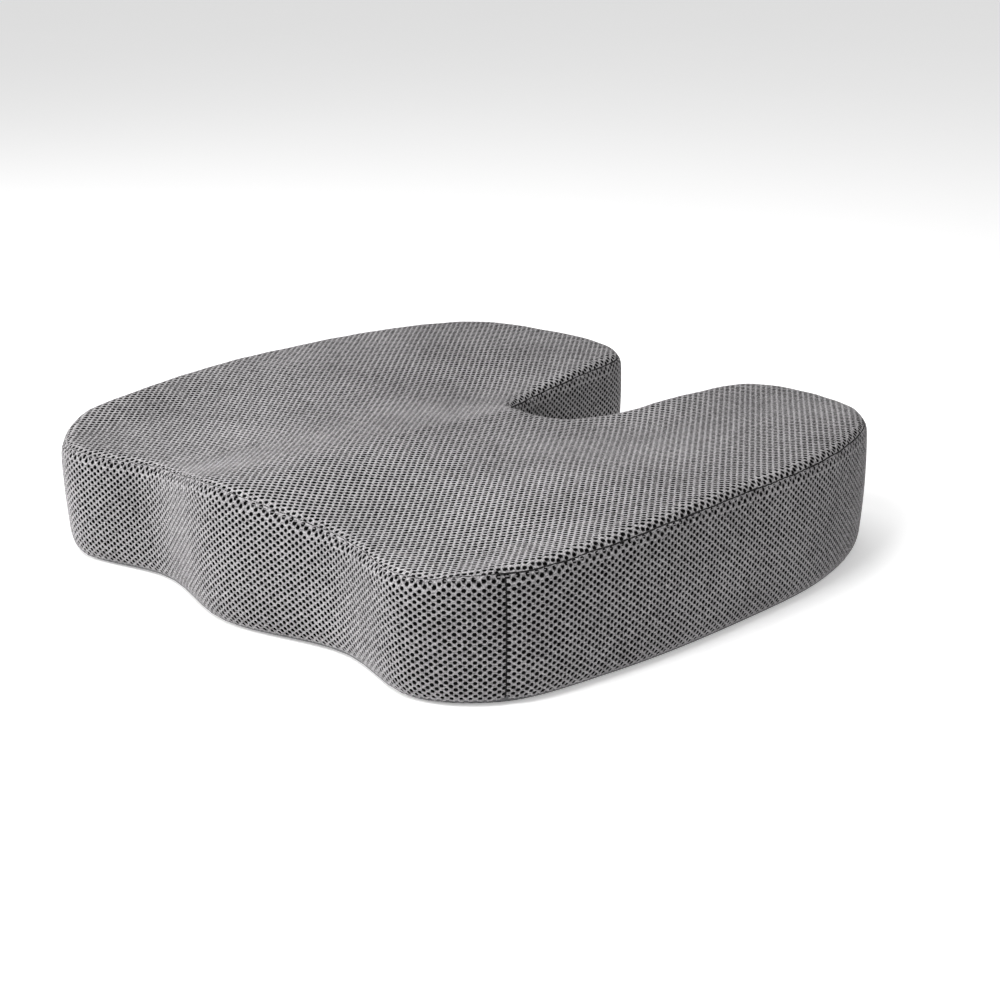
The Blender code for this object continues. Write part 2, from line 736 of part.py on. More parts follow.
def hinge_to_local(empty):
    bpy.context.view_layer.update()
    return empty.matrix_world.inverted()


def make_stops(parts):
    """The clips that keep the slider on the coil: one across both at the far end, one on each tape at the closed end."""
    length, width, height = STOP_SIZE
    low, high = TAPE_LIFT - height / 2, TAPE_LIFT + height / 2
    reach = TAPE_EDGE - GAP
    far = -slider_x() - SLIDER_LENGTH / 2 - length - 0.8
    near = slider_x() + SLIDER_LENGTH / 2 + 0.8
    places = {
        "zip_bottom_stop": ((far, ZIP_Y - reach), (far + length, ZIP_Y + reach)),
        "zip_top_stop_front": ((near, ZIP_Y - reach), (near + length, ZIP_Y - reach + width)),
        "zip_top_stop_rear": ((near, ZIP_Y + reach - width), (near + length, ZIP_Y + reach)),
    }
    for name, ((x0, y0), (x1, y1)) in places.items():
        outline = [(x0, y0), (x1, y0), (x1, y1), (x0, y1)]
        clip = extruded_outline(name, outline, low, high, parts, "zip_metal")
        bevel = clip.modifiers.new("Bevel", "BEVEL")
        bevel.width = 0.3 * MM
        bevel.segments = 2


def make_label(parts):
    """A blank care label on the tape, inside the cover."""
    low = TAPE_LIFT + TAPE_THICKNESS / 2 + GAP
    outline = [(-122.0, ZIP_Y - 16.5), (-84.0, ZIP_Y - 16.5), (-84.0, ZIP_Y - 5.5), (-122.0, ZIP_Y - 5.5)]
    extruded_outline("care_label", outline, low, low + 0.4, parts, "label")


def main():
    clear_scene()
    parts = collection_named(OBJECT_NAME)
    cutters = collection_named("cutters")
    recess_cutter(cutters)
    make_foam(parts, cutters)
    make_liner(parts)
    make_top_panel(parts)
    make_bands(parts, cutters)
    make_bindings(parts)
    make_base(parts, cutters)
    make_tapes(parts)
    make_chains(parts)
    make_slider(parts, cutters)
    make_pull(parts, cutters)
    make_stops(parts)
    make_label(parts)


main()
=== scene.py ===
"""Looks of a contoured seat cushion in a zipped cover of spacer mesh.

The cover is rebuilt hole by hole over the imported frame: a top panel that rolls over its
edge, bands round the sides with their seams and stitches, a knitted base with grip dots,
and a zip. Sizes are millimetres and the scene is metres. The cushion lies on Z = 0, its
front edge faces -Y, and its cut-out opens towards +Y.
"""

import logging
import math
from dataclasses import dataclass, field
from enum import Enum

import bpy
import numpy as np
from mathutils import Matrix, Vector


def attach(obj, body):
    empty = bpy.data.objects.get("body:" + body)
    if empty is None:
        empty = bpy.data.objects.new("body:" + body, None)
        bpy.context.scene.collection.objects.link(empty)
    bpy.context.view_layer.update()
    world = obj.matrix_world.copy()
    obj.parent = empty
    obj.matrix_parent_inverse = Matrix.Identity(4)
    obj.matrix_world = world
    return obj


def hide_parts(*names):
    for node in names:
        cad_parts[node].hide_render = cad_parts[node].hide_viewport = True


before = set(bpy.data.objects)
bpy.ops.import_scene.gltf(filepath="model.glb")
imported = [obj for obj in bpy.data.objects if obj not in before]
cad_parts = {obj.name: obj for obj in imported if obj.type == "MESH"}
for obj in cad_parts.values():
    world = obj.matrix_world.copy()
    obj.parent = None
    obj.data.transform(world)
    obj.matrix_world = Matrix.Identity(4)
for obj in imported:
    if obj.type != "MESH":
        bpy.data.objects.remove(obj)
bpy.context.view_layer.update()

MM = 0.001
CORD_SIDES = 8
Colour = tuple[float, float, float]
Plan = tuple[float, float]
Pair = tuple[np.ndarray, np.ndarray]

logging.basicConfig(level=logging.INFO, format="%(message)s")
log = logging.getLogger("cushion")


# ---------------------------------------------------------------- shader helpers


class Value:
    """One value or colour inside a material, with arithmetic that adds Math nodes."""

    def __init__(self, paint: "Paint", socket: bpy.types.NodeSocket) -> None:
        """Wraps a socket.

        Args:
            paint: The material that the socket belongs to.
            socket: The output socket to work with.
        """
        self.paint = paint
        self.socket = socket

    def _math(self, operation: str, first: object, second: object) -> "Value":
        """Adds one Math node.

        Args:
            operation: The node's operation.
            first: A number or a value.
            second: A number or a value.

        Returns:
            The node's result.
        """
        node = self.paint.node("ShaderNodeMath", {"operation": operation}, {0: first, 1: second})
        return Value(self.paint, node.outputs[0])

    def __add__(self, other: object) -> "Value":
        """The sum of two values."""
        return self._math("ADD", self, other)

    def __radd__(self, other: object) -> "Value":
        """The sum, with the number first."""
        return self._math("ADD", other, self)

    def __sub__(self, other: object) -> "Value":
        """One value less another."""
        return self._math("SUBTRACT", self, other)

    def __rsub__(self, other: object) -> "Value":
        """A number less this value."""
        return self._math("SUBTRACT", other, self)

    def __mul__(self, other: object) -> "Value":
        """The product of two values."""
        return self._math("MULTIPLY", self, other)

    def wave(self) -> "Value":
        """A smooth wave from 0 to 1 that repeats each time this value gains a full turn."""
        return self._math("SINE", self, 0.0) * 0.5 + 0.5

    def power(self, exponent: float) -> "Value":
        """This value raised to a power."""
        return self._math("POWER", self, exponent)

    def between(self, low: float, high: float) -> "Value":
        """How far this value has come from low to high, kept from 0 to 1."""
        inputs = {"Value": self, "From Min": low, "From Max": high}
        return Value(self.paint, self.paint.node("ShaderNodeMapRange", {"clamp": True}, inputs).outputs[0])


class Paint:
    """A material under construction."""

    def __init__(self, name: str) -> None:
        """Starts an empty material.

        Args:
            name: The material's name.
        """
        self.material = bpy.data.materials.new(name)
        self.material.use_nodes = True
        self.tree = self.material.node_tree
        self.shader = self.tree.nodes["Principled BSDF"]
        self._place: bpy.types.Node | None = None

    def node(self, kind: str, settings: dict[str, object], inputs: dict[object, object]) -> bpy.types.Node:
        """Adds a node, sets it and feeds it.

        Args:
            kind: The node's type.
            settings: Its own settings, set first.
            inputs: What goes to its sockets, by name or number: a value, or a link.

        Returns:
            The node.
        """
        made = self.tree.nodes.new(kind)
        for name, setting in settings.items():
            setattr(made, name, setting)
        for key, given in inputs.items():
            self.feed(made.inputs[key], given)
        return made

    def feed(self, socket: bpy.types.NodeSocket, given: object) -> None:
        """Links a value to a socket, or sets the socket to a constant."""
        if isinstance(given, Value):
            self.tree.links.new(given.socket, socket)
        elif isinstance(given, tuple) and len(given) == 3 and socket.type == "RGBA":
            socket.default_value = (*given, 1.0)
        else:
            socket.default_value = given

    def place(self, axis: int) -> Value:
        """The place on the cushion along one axis, in metres."""
        if self._place is None:
            where = self.node("ShaderNodeTexCoord", {}, {})
            self._place = self.node("ShaderNodeSeparateXYZ", {}, {0: Value(self, where.outputs["Object"])})
        return Value(self, self._place.outputs[axis])

    def noise(self, scale: float, detail: float = 2.0) -> Value:
        """Cloudy variation from 0 to 1.

        Args:
            scale: How many features there are to a metre.
            detail: How many finer layers are added.

        Returns:
            The variation.
        """
        where = self.node("ShaderNodeTexCoord", {}, {})
        inputs = {"Vector": Value(self, where.outputs["Object"]), "Scale": scale, "Detail": detail}
        return Value(self, self.node("ShaderNodeTexNoise", {}, inputs).outputs[0])

    def pores(self, scale: float) -> Value:
        """The distance to the nearest of scattered points, in cells."""
        where = self.node("ShaderNodeTexCoord", {}, {})
        inputs = {"Vector": Value(self, where.outputs["Object"]), "Scale": scale}
        return Value(self, self.node("ShaderNodeTexVoronoi", {}, inputs).outputs["Distance"])

    def attribute(self, name: str) -> Value:
        """A number kept on the mesh."""
        return Value(self, self.node("ShaderNodeAttribute", {"attribute_name": name}, {}).outputs["Fac"])

    def blend(self, share: Value, first: object, second: object) -> Value:
        """A colour between two others.

        Args:
            share: How much of the second there is, from 0 to 1.
            first: The colour at 0.
            second: The colour at 1.

        Returns:
            The blended colour.
        """
        node = self.node("ShaderNodeMix", {"data_type": "RGBA"}, {0: share, 6: first, 7: second})
        return Value(self, node.outputs[2])

    def relief(self, height: Value, depth: float, strength: float) -> None:
        """Turns the shader's normal by a height.

        Args:
            height: The height, from 0 to 1.
            depth: How deep 1 is, in metres.
            strength: How much of it shows.
        """
        inputs = {"Height": height, "Distance": depth, "Strength": strength}
        bump = self.node("ShaderNodeBump", {}, inputs)
        self.feed(self.shader.inputs["Normal"], Value(self, bump.outputs[0]))

    def surface(self, **inputs: object) -> bpy.types.Material:
        """Sets the shader's sockets, named with underscores for spaces, and gives the material."""
        for name, given in inputs.items():
            self.feed(self.shader.inputs[name.replace("_", " ").title().replace("Ior", "IOR")], given)
        return self.material


# ---------------------------------------------------------------- finishes


class WeaveKind(Enum):
    """How the threads of a cloth cross."""

    KNIT = "knit"
    TWILL = "twill"
    PLAIN = "plain"


@dataclass(frozen=True)
class SpacerMeshFinish:
    """Grey spacer mesh: matt polyester yarn, with painted shade darkening its open holes and painted
    highlights on the lips round them.
    """

    light: Colour = (0.54, 0.525, 0.535)
    dark: Colour = (0.078, 0.075, 0.077)
    # hole: near black, painted shade for the shade inside each hole
    hole: Colour = (0.002, 0.002, 0.002)
    filament_pitch: float = 0.45

    def material(self) -> bpy.types.Material:
        """Builds the material."""
        paint = Paint("spacer_mesh")
        turns_to_a_metre = 2 * math.pi / (self.filament_pitch * MM)
        twist = ((paint.place(0) + paint.place(1) * 0.6 + paint.place(2)) * turns_to_a_metre).wave()
        heather = paint.noise(900.0, 3.0)
        clouds = paint.noise(14.0, 2.0)
        depth = paint.attribute("hole_depth")
        # Painted highlight: the raised lips round each hole lighter, with painted shade on the corners
        # between holes.
        painted_lip_highlight = 1.0 - depth.between(-0.25, 0.0)
        shade = (heather * 0.8 + clouds * 0.2).between(0.36, 0.64) * 0.65 + painted_lip_highlight * 0.35
        yarn = paint.blend(shade, self.dark, self.light)
        # Painted shade: the colour goes to the near-black hole colour from the rims down the walls to the
        # floor of each hole.
        colour = paint.blend(depth.between(0.04, 0.46), yarn, self.hole)
        paint.relief(twist * 0.45 + heather * 0.55, 0.00022, 0.55)
        rough = 0.78 + paint.noise(300.0) * 0.16
        return paint.surface(base_color=colour, roughness=rough, specular_ior_level=0.12)


@dataclass(frozen=True)
class ClothFinish:
    """A woven or knitted cloth with threads of one pitch."""

    name: str
    light: Colour
    dark: Colour
    pitch: float
    weave: WeaveKind
    gloss: float = 0.15

    def material(self) -> bpy.types.Material:
        """Builds the material."""
        paint = Paint(self.name)
        turn = 2 * math.pi / (self.pitch * MM)
        wander = paint.noise(60.0) * 1.2
        across = (paint.place(0) * turn + wander).wave()
        along = ((paint.place(1) + paint.place(2)) * turn * 1.12 + wander).wave()
        if self.weave is WeaveKind.TWILL:
            pattern = ((paint.place(0) + paint.place(1) + paint.place(2)) * turn).wave()
        elif self.weave is WeaveKind.KNIT:
            pattern = across.power(1.6) * 0.62 + along * across * 0.38
        else:
            pattern = across * 0.5 + along * 0.5
        speckle = paint.noise(1600.0, 2.0)
        shade = pattern * 0.7 + speckle * 0.3
        colour = paint.blend(shade.between(0.12, 0.88), self.dark, self.light)
        worn = paint.blend(paint.noise(9.0, 3.0).between(0.45, 0.8) * 0.25, colour, self.light)
        paint.relief(pattern * 0.8 + speckle * 0.2, 0.00025, 0.6)
        rough = (1.0 - self.gloss) - pattern * 0.12
        return paint.surface(base_color=worn, roughness=rough, sheen_weight=0.15)


@dataclass(frozen=True)
class ThreadFinish:
    """Twisted sewing thread, and the near-black cord that is painted shade in the crevice of a seam."""

    name: str
    light: Colour
    dark: Colour

    def material(self) -> bpy.types.Material:
        """Builds the material."""
        paint = Paint(self.name)
        lean = paint.place(0) * 1.0 + paint.place(1) * 0.8 + paint.place(2) * 1.3
        twist = (lean * (2 * math.pi / (0.9 * MM))).wave()
        fuzz = paint.noise(1800.0, 2.0)
        colour = paint.blend((twist * 0.6 + fuzz * 0.4).between(0.1, 0.9), self.dark, self.light)
        paint.relief(twist * 0.7 + fuzz * 0.3, 0.0002, 0.7)
        return paint.surface(base_color=colour, roughness=0.7 + fuzz * 0.2, specular_ior_level=0.1)


@dataclass(frozen=True)
class FoamFinish:
    """Open-cell foam, cream with a skin of fine pores."""

    light: Colour = (0.82, 0.76, 0.56)
    dark: Colour = (0.60, 0.52, 0.33)

    def material(self) -> bpy.types.Material:
        """Builds the material."""
        paint = Paint("foam_cells")
        cells = paint.pores(900.0)
        coarse = paint.pores(260.0)
        age = paint.noise(7.0, 3.0)
        shade = (cells * 0.5 + coarse * 0.3 + age * 0.2).between(0.15, 0.75)
        paint.relief(cells * 0.7 + coarse * 0.3, 0.0006, 0.8)
        colour = paint.blend(shade, self.dark, self.light)
        return paint.surface(base_color=colour, roughness=0.86 + age * 0.1)


@dataclass(frozen=True)
class MouldedFinish:
    """Moulded nylon or silicone rubber."""

    name: str
    light: Colour
    dark: Colour
    roughness: float
    ribs: float

    def material(self) -> bpy.types.Material:
        """Builds the material."""
        paint = Paint(self.name)
        grain = paint.noise(700.0, 3.0)
        ribs = (paint.place(0) * (2 * math.pi / (self.ribs * MM))).wave()
        colour = paint.blend((grain * 0.6 + ribs * 0.4).between(0.2, 0.8), self.dark, self.light)
        paint.relief(grain * 0.4 + ribs * 0.6, 0.00012, 0.5)
        return paint.surface(base_color=colour, roughness=self.roughness + grain * 0.12)


@dataclass(frozen=True)
class MetalFinish:
    """Die-cast zinc with a dark plating that wears through in scattered patches."""

    plating: Colour = (0.20, 0.20, 0.21)
    worn: Colour = (0.52, 0.51, 0.50)

    def material(self) -> bpy.types.Material:
        """Builds the material."""
        paint = Paint("plated_zinc")
        scratches = (paint.place(0) * 0.3 + paint.place(1)) * 9000.0
        brushed = (scratches + paint.noise(900.0) * 6.0).wave()
        handled = paint.noise(320.0, 4.0).between(0.52, 0.74)
        colour = paint.blend(handled * 0.7, self.plating, self.worn)
        paint.relief(brushed * 0.4 + paint.noise(1500.0) * 0.6, 0.00005, 0.4)
        rough = 0.28 + brushed * 0.1 + handled * 0.12
        return paint.surface(base_color=colour, metallic=1.0, roughness=rough)


@dataclass(frozen=True)
class FloorFinish:
    """A plain pale studio floor."""

    colour: Colour = (0.93, 0.93, 0.93)
    pale: Colour = (0.95, 0.95, 0.95)
    glow: float = 0.4

    def material(self) -> bpy.types.Material:
        """Builds the material."""
        paint = Paint("studio_floor")
        shade = paint.blend(paint.noise(3.0, 2.0), self.colour, self.pale)
        return paint.surface(
            base_color=shade, roughness=0.9, emission_color=self.colour, emission_strength=self.glow
        )


# ---------------------------------------------------------------- shape


def share_between(low: float, high: float, values: np.ndarray) -> np.ndarray:
    """A smooth step from 0 at low to 1 at high."""
    share = np.clip((values - low) / (high - low), 0.0, 1.0)
    return share * share * (3.0 - 2.0 * share)


def quarter_ellipse(across: float, up: float) -> tuple[np.ndarray, np.ndarray, np.ndarray]:
    """A rounded edge, from its upright end to its level end.

    Args:
        across: The ellipse's level radius.
        up: Its upright radius.

    Returns:
        Lengths along the arc, and the level and upright distances travelled at each.
    """
    turn = np.linspace(0.0, math.pi / 2, 200)
    level = across * (1.0 - np.cos(turn))
    upright = up * np.sin(turn)
    steps = np.hypot(np.diff(level), np.diff(upright))
    return np.concatenate([[0.0], np.cumsum(steps)]), level, upright


@dataclass(frozen=True)
class CushionShape:
    """The cushion's outline and top surface, with the same sizes as the frame."""

    width: float = 450.0
    depth: float = 422.0
    crown_height: float = 90.0
    groove_x: float = 88.0
    groove_setback: float = 19.0
    lobe_x: float = 166.0
    lobe_setback: float = 6.0
    front_corner_in: float = 17.0
    front_corner_back: float = 40.0
    rear_corner_in: float = 41.0
    rear_corner_forward: float = 38.0
    rear_lobe_x: float = 120.0
    notch_depth: float = 169.0
    notch_mouth_half: float = 62.0
    notch_waist_half: float = 47.0
    notch_tip_half: float = 37.0
    groove_drop: float = 14.0
    ridge_width: float = 0.258
    groove_side: tuple[float, float] = (0.75, 1.0)
    groove_run: tuple[float, float] = (-0.9, 0.02)
    seat_dip: float = 13.0
    dip_middle: tuple[float, float] = (0.267, 0.33)
    dip_spread: tuple[float, float] = (0.333, 0.52)
    rear_drop: float = 5.0
    rear_run: tuple[float, float] = (0.57, 1.0)
    rear_side: tuple[float, float] = (0.53, 0.89)

    def half_points(self) -> list[tuple[float, float]]:
        """The outline's points from the front centre round to the tip of the cut-out."""
        half = self.width / 2
        front = -self.depth / 2
        rear = self.depth / 2
        tip = rear - self.notch_depth
        return [
            (0.0, front),
            (self.groove_x, front + self.groove_setback),
            (self.lobe_x, front + self.lobe_setback),
            (half - self.front_corner_in, front + self.front_corner_back),
            (half - 2.0, front + 113.0),
            (half, 5.0),
            (half - 10.0, rear - 108.0),
            (half - self.rear_corner_in, rear - self.rear_corner_forward),
            (self.rear_lobe_x, rear - 1.0),
            (self.notch_mouth_half, rear - 10.0),
            (self.notch_waist_half, tip + 105.0),
            (self.notch_tip_half, tip + 44.0),
            (0.62 * self.notch_tip_half, tip + 11.0),
            (0.0, tip),
        ]

    def half_line(self) -> tuple[np.ndarray, float]:
        """A smooth curve through the half outline's points.

        Returns:
            The curve's points, and the distance along it of the front corner's seam.
        """
        given = self.half_points()
        before = (-given[1][0], given[1][1])
        after = (-given[-2][0], given[-2][1])
        points = np.array([before] + given + [after])
        chords = np.linalg.norm(np.diff(points, axis=0), axis=1)
        knots = np.concatenate([[0.0], np.cumsum(chords**0.5)])
        spans = [np.array([points[1]])]
        for k in range(1, len(points) - 2):
            p0, p1, p2, p3 = points[k - 1 : k + 3]
            t0, t1, t2, t3 = knots[k - 1 : k + 3]
            t = np.linspace(t1, t2, 61)[1:, None]
            a1 = (t1 - t) / (t1 - t0) * p0 + (t - t0) / (t1 - t0) * p1
            a2 = (t2 - t) / (t2 - t1) * p1 + (t - t1) / (t2 - t1) * p2
            a3 = (t3 - t) / (t3 - t2) * p2 + (t - t2) / (t3 - t2) * p3
            b1 = (t2 - t) / (t2 - t0) * a1 + (t - t0) / (t2 - t0) * a2
            b2 = (t3 - t) / (t3 - t1) * a2 + (t - t1) / (t3 - t1) * a3
            spans.append((t2 - t) / (t2 - t1) * b1 + (t - t1) / (t2 - t1) * b2)
        line = np.concatenate(spans)
        line[:, 1] -= (line[:, 1].min() + line[:, 1].max()) / 2
        line[:, 0] *= (self.width / 2) / line[:, 0].max()
        to_corner = len(np.concatenate(spans[:4]))
        corner = np.linalg.norm(np.diff(line[:to_corner], axis=0), axis=1).sum()
        return line, float(corner)

    def top_height(self, x: np.ndarray, y: np.ndarray) -> np.ndarray:
        """The height of the top above the floor, before its edge rolls down.

        The fields that shape it are shares of the half width, of the half depth, or of both in turn.
        """
        aside = np.abs(x) / (self.width / 2)
        along = y / (self.depth / 2)
        from_ridge = 1.0 - np.exp(-((aside / self.ridge_width) ** 2))
        groove = self.groove_drop * from_ridge * (1.0 - 0.5 * share_between(*self.groove_side, aside))
        groove = groove * (1.0 - share_between(*self.groove_run, along))
        dip_aside = (aside - self.dip_middle[0]) / self.dip_spread[0]
        dip_along = (along - self.dip_middle[1]) / self.dip_spread[1]
        dip = self.seat_dip * np.exp(-(dip_aside**2)) * np.exp(-(dip_along**2))
        rear = self.rear_drop * share_between(*self.rear_run, along)
        rear = rear * (1.0 - share_between(*self.rear_side, aside))
        return self.crown_height - groove - dip - rear


class Loop:
    """A closed line round the cushion, from the front centre towards +X."""

    STEP = 1.0

    def __init__(self, shape: CushionShape) -> None:
        """Traces the outline.

        Args:
            shape: The cushion's shape.
        """
        half, self.corner = shape.half_line()
        whole = np.vstack([half, (half * (-1.0, 1.0))[::-1][1:]])
        along = np.concatenate([[0.0], np.cumsum(np.linalg.norm(np.diff(whole, axis=0), axis=1))])
        self.length = float(along[-1])
        count = int(self.length / self.STEP)
        self.at = np.linspace(0.0, self.length, count, endpoint=False)
        self.points = np.column_stack([np.interp(self.at, along, whole[:, axis]) for axis in (0, 1)])
        ahead = np.roll(self.points, -3, axis=0) - np.roll(self.points, 3, axis=0)
        ahead /= np.linalg.norm(ahead, axis=1)[:, None]
        self.outward = np.column_stack([ahead[:, 1], -ahead[:, 0]])

    def read(self, s: np.ndarray) -> Pair:
        """The points and outward directions at distances along the line."""
        s = np.mod(s, self.length)
        at = np.append(self.at, self.length)
        points = np.vstack([self.points, self.points[:1]])
        outward = np.vstack([self.outward, self.outward[:1]])
        place = np.column_stack([np.interp(s, at, points[:, axis]) for axis in (0, 1)])
        out = np.column_stack([np.interp(s, at, outward[:, axis]) for axis in (0, 1)])
        return place, out / np.linalg.norm(out, axis=1)[:, None]

    def nearest(self, plan: np.ndarray) -> Pair:
        """The nearest point of the line to each given one.

        Args:
            plan: Points seen from above.

        Returns:
            Distances along the line, and how far inside it each point lies.
        """
        found = np.empty(len(plan), int)
        for first in range(0, len(plan), 4000):
            part = plan[first : first + 4000]
            gaps = ((part[:, None, :] - self.points[None, ::4, :]) ** 2).sum(axis=2)
            found[first : first + 4000] = gaps.argmin(axis=1) * 4
        window = (found[:, None] + np.arange(-4, 5)[None, :]) % len(self.points)
        close = ((plan[:, None, :] - self.points[window]) ** 2).sum(axis=2).argmin(axis=1)
        index = window[np.arange(len(plan)), close]
        away = plan - self.points[index]
        out = self.outward[index]
        ahead = np.column_stack([-out[:, 1], out[:, 0]])
        return self.at[index] + (away * ahead).sum(axis=1), -(away * out).sum(axis=1)

    def wander(self, s: np.ndarray, waves: tuple[tuple[float, float], ...]) -> np.ndarray:
        """Uneven variation from about -1 to 1 that closes on itself.

        Args:
            s: Distances along the line.
            waves: For each wave, its length in millimetres and its share.

        Returns:
            The variation at each distance.
        """
        total = np.zeros_like(s)
        for number, (length, share) in enumerate(waves):
            turns = round(self.length / length)
            total += share * np.sin(2 * math.pi * turns * s / self.length + 1.7 * number)
        return total


# ---------------------------------------------------------------- spacer mesh


class RowsRun(Enum):
    """Which way the fabric's close rows of holes run in a panel."""

    ACROSS = "across"
    UPRIGHT = "upright"


@dataclass(frozen=True)
class HoleLattice:
    """The staggered holes of a spacer mesh, and the yarn round each of them."""

    pitch: float
    row_gap: float
    hole_with_row: float = 1.08
    hole_over_row: float = 1.30
    lip_height: float = 0.30
    rim_drop: float = 0.22
    seed: int = 7

    CORNERS = np.array([(1, 1), (0, 2), (-1, 1), (-1, -1), (0, -2), (1, -1)])

    def centres(self, low: Plan, high: Plan) -> Pair:
        """Every hole in a rectangle.

        Args:
            low: The rectangle's lowest corner, with rows along its first axis.
            high: Its highest corner.

        Returns:
            Whole-number keys in steps of half a pitch and a third of a row gap, and places.
        """
        columns = np.arange(math.floor(low[0] / self.pitch) - 1, math.ceil(high[0] / self.pitch) + 2)
        rows = np.arange(math.floor(low[1] / self.row_gap) - 1, math.ceil(high[1] / self.row_gap) + 2)
        column, row = np.meshgrid(columns, rows)
        keys = np.column_stack([(2 * column + row % 2).ravel(), (3 * row).ravel()])
        return keys, self.placed(keys)

    def placed(self, keys: np.ndarray) -> np.ndarray:
        """Keys as millimetres along and across the rows."""
        return keys * np.array([self.pitch / 2, self.row_gap / 3])


class PerforatedPanel:
    """One panel of spacer mesh, with a real pit for each hole."""

    LIP_SHARE = 0.45
    WALL_SHARE = 0.86
    UNEVEN_PLACE = 0.07
    UNEVEN_SIZE = 0.06
    FULL_REACH = 2.2
    # Per ring of each cell: corners 0, lips -0.25 for the painted highlight, rims 0.42 and pit walls 1.0 for
    # the painted shade in the holes.
    SHADE = np.array([0.0, -0.25, 0.42, 1.0])

    def __init__(self, name: str, lattice: HoleLattice, rows: RowsRun) -> None:
        """Starts a panel.

        Args:
            name: The piece's name.
            lattice: Its holes.
            rows: Which way the rows run.
        """
        self.name = name
        self.lattice = lattice
        self.rows = rows

    def _turned(self, flat: np.ndarray) -> np.ndarray:
        """Swaps the two flat axes where the rows run upright."""
        return flat[:, ::-1] if self.rows is RowsRun.UPRIGHT else flat

    def build(self, low: Plan, high: Plan, cut: "PanelCut") -> bpy.types.Object:
        """Makes the panel's mesh.

        Args:
            low: The lowest corner of the flat cloth.
            high: Its highest corner.
            cut: What is kept of it and where it goes.

        Returns:
            The panel.
        """
        lattice = self.lattice
        box = self._turned(np.array([low, high]))
        keys, places = lattice.centres(tuple(box[0]), tuple(box[1]))
        kept = cut.keeps(self._turned(places))
        ring, corners, at_edge = self._corners(keys[kept], cut)
        around = corners[ring]
        centre, rim = self._rims(self._turned(places[kept]), around, at_edge[ring].any(axis=1))
        lip = rim * (1.0 - self.LIP_SHARE) + around * self.LIP_SHARE
        wall = centre[:, None, :] + (rim - centre[:, None, :]) * self.WALL_SHARE
        flat = np.vstack([corners, lip.reshape(-1, 2), rim.reshape(-1, 2), wall.reshape(-1, 2)])
        place, normal, room = cut.laid(flat)
        parts = np.repeat(np.arange(4), [len(corners), ring.size, ring.size, ring.size])
        sunk = np.array([0.0, -lattice.lip_height, lattice.rim_drop, 0.0])[parts]
        sunk = np.where(parts == 3, room, sunk)
        lip_ring = len(corners) + np.arange(ring.size).reshape(-1, 6)
        rim_ring = lip_ring + ring.size
        wall_ring = rim_ring + ring.size
        quads = [self._between(ring, lip_ring), self._between(lip_ring, rim_ring)]
        quads.append(self._between(rim_ring, wall_ring))
        shape = PanelMesh(place - normal * sunk[:, None], np.vstack(quads), wall_ring)
        return shape.lay(self.name, self.SHADE[parts], flat, cut.layout(flat, centre))

    def _corners(self, keys: np.ndarray, cut: "PanelCut") -> tuple[np.ndarray, np.ndarray, np.ndarray]:
        """The corners that neighbouring holes share.

        Args:
            keys: The holes' keys.
            cut: The panel's cut, which its outer corners are moved to.

        Returns:
            For each hole its six corners, then the corners, and whether each is on the cut edge.
        """
        corner_keys = (keys[:, None, :] + self.lattice.CORNERS[None]).reshape(-1, 2)
        unique, uses = np.unique(corner_keys, axis=0, return_inverse=True)
        ring = uses.reshape(-1, 6)
        corners = self._turned(self.lattice.placed(unique))
        at_edge = np.bincount(ring.reshape(-1), minlength=len(unique)) < 3
        corners[at_edge] = cut.snapped(corners[at_edge])
        return ring, corners, at_edge

    def _rims(self, places: np.ndarray, around: np.ndarray, cut_short: np.ndarray) -> Pair:
        """The slightly uneven holes.

        Args:
            places: Where the lattice puts them.
            around: The six corners round each.
            cut_short: Which of them lie beside the cut edge.

        Returns:
            Their centres, and six points round each.
        """
        rng = np.random.default_rng(self.lattice.seed)
        centre = places + rng.normal(0.0, self.UNEVEN_PLACE, places.shape)
        grow = rng.normal(1.0, self.UNEVEN_SIZE, (len(places), 1, 1))
        angle = np.radians([30, 90, 150, 210, 270, 330])
        with_row = np.cos(angle) * self.lattice.hole_with_row
        over_row = np.sin(angle) * self.lattice.hole_over_row
        hole = self._turned(np.column_stack([with_row, over_row]))
        hub = around.mean(axis=1)
        reach = np.abs(around - hub[:, None]).max(axis=(1, 2))
        squeeze = np.clip(reach / self.FULL_REACH, 0.55, 1.0)[:, None, None]
        centre = np.where(cut_short[:, None], hub, centre)
        return centre, centre[:, None, :] + hole[None] * grow * squeeze

    @staticmethod
    def _between(outer: np.ndarray, inner: np.ndarray) -> np.ndarray:
        """Four-sided faces between two rings of six."""
        sides = [outer, np.roll(outer, -1, axis=1), np.roll(inner, -1, axis=1), inner]
        return np.stack(sides, axis=2).reshape(-1, 4)


@dataclass
class PanelMesh:
    """A panel's points in millimetres, its four-sided faces, and the caps at the bottom of its holes."""

    points: np.ndarray
    quads: np.ndarray
    caps: np.ndarray

    def lay(self, name: str, shade: np.ndarray, flat: np.ndarray, layout: "BakeLayout") -> bpy.types.Object:
        """Puts the panel into a mesh with its attributes.

        Args:
            name: The piece's name.
            shade: How deep in a hole each point is, from 0 to 1, with -0.25 on the lips; it carries the
                painted shade in the holes and the painted highlight on the lips.
            flat: Where each point lies on the flat cloth.
            layout: Where each hole's cell goes in the bake.

        Returns:
            The panel.
        """
        mesh = bpy.data.meshes.new(name)
        loops = np.concatenate([self.quads.ravel(), self.caps.ravel()]).astype(np.int32)
        sizes = np.concatenate([np.full(len(self.quads), 4), np.full(len(self.caps), 6)])
        fill_mesh(mesh, self.points, loops, sizes)
        cells = np.arange(len(self.caps))
        owner = np.concatenate([np.tile(np.repeat(cells, 6), 3), cells])
        where = layout.read(flat[loops], np.repeat(owner, sizes))
        mesh.uv_layers.new(name="OFBake").data.foreach_set("uv", where.astype(np.float32).ravel())
        # hole_depth carries the painted shade in the holes and the painted highlight on the lips.
        depth = mesh.attributes.new("hole_depth", "FLOAT", "POINT")
        depth.data.foreach_set("value", shade.astype(np.float32))
        return linked(name, mesh)


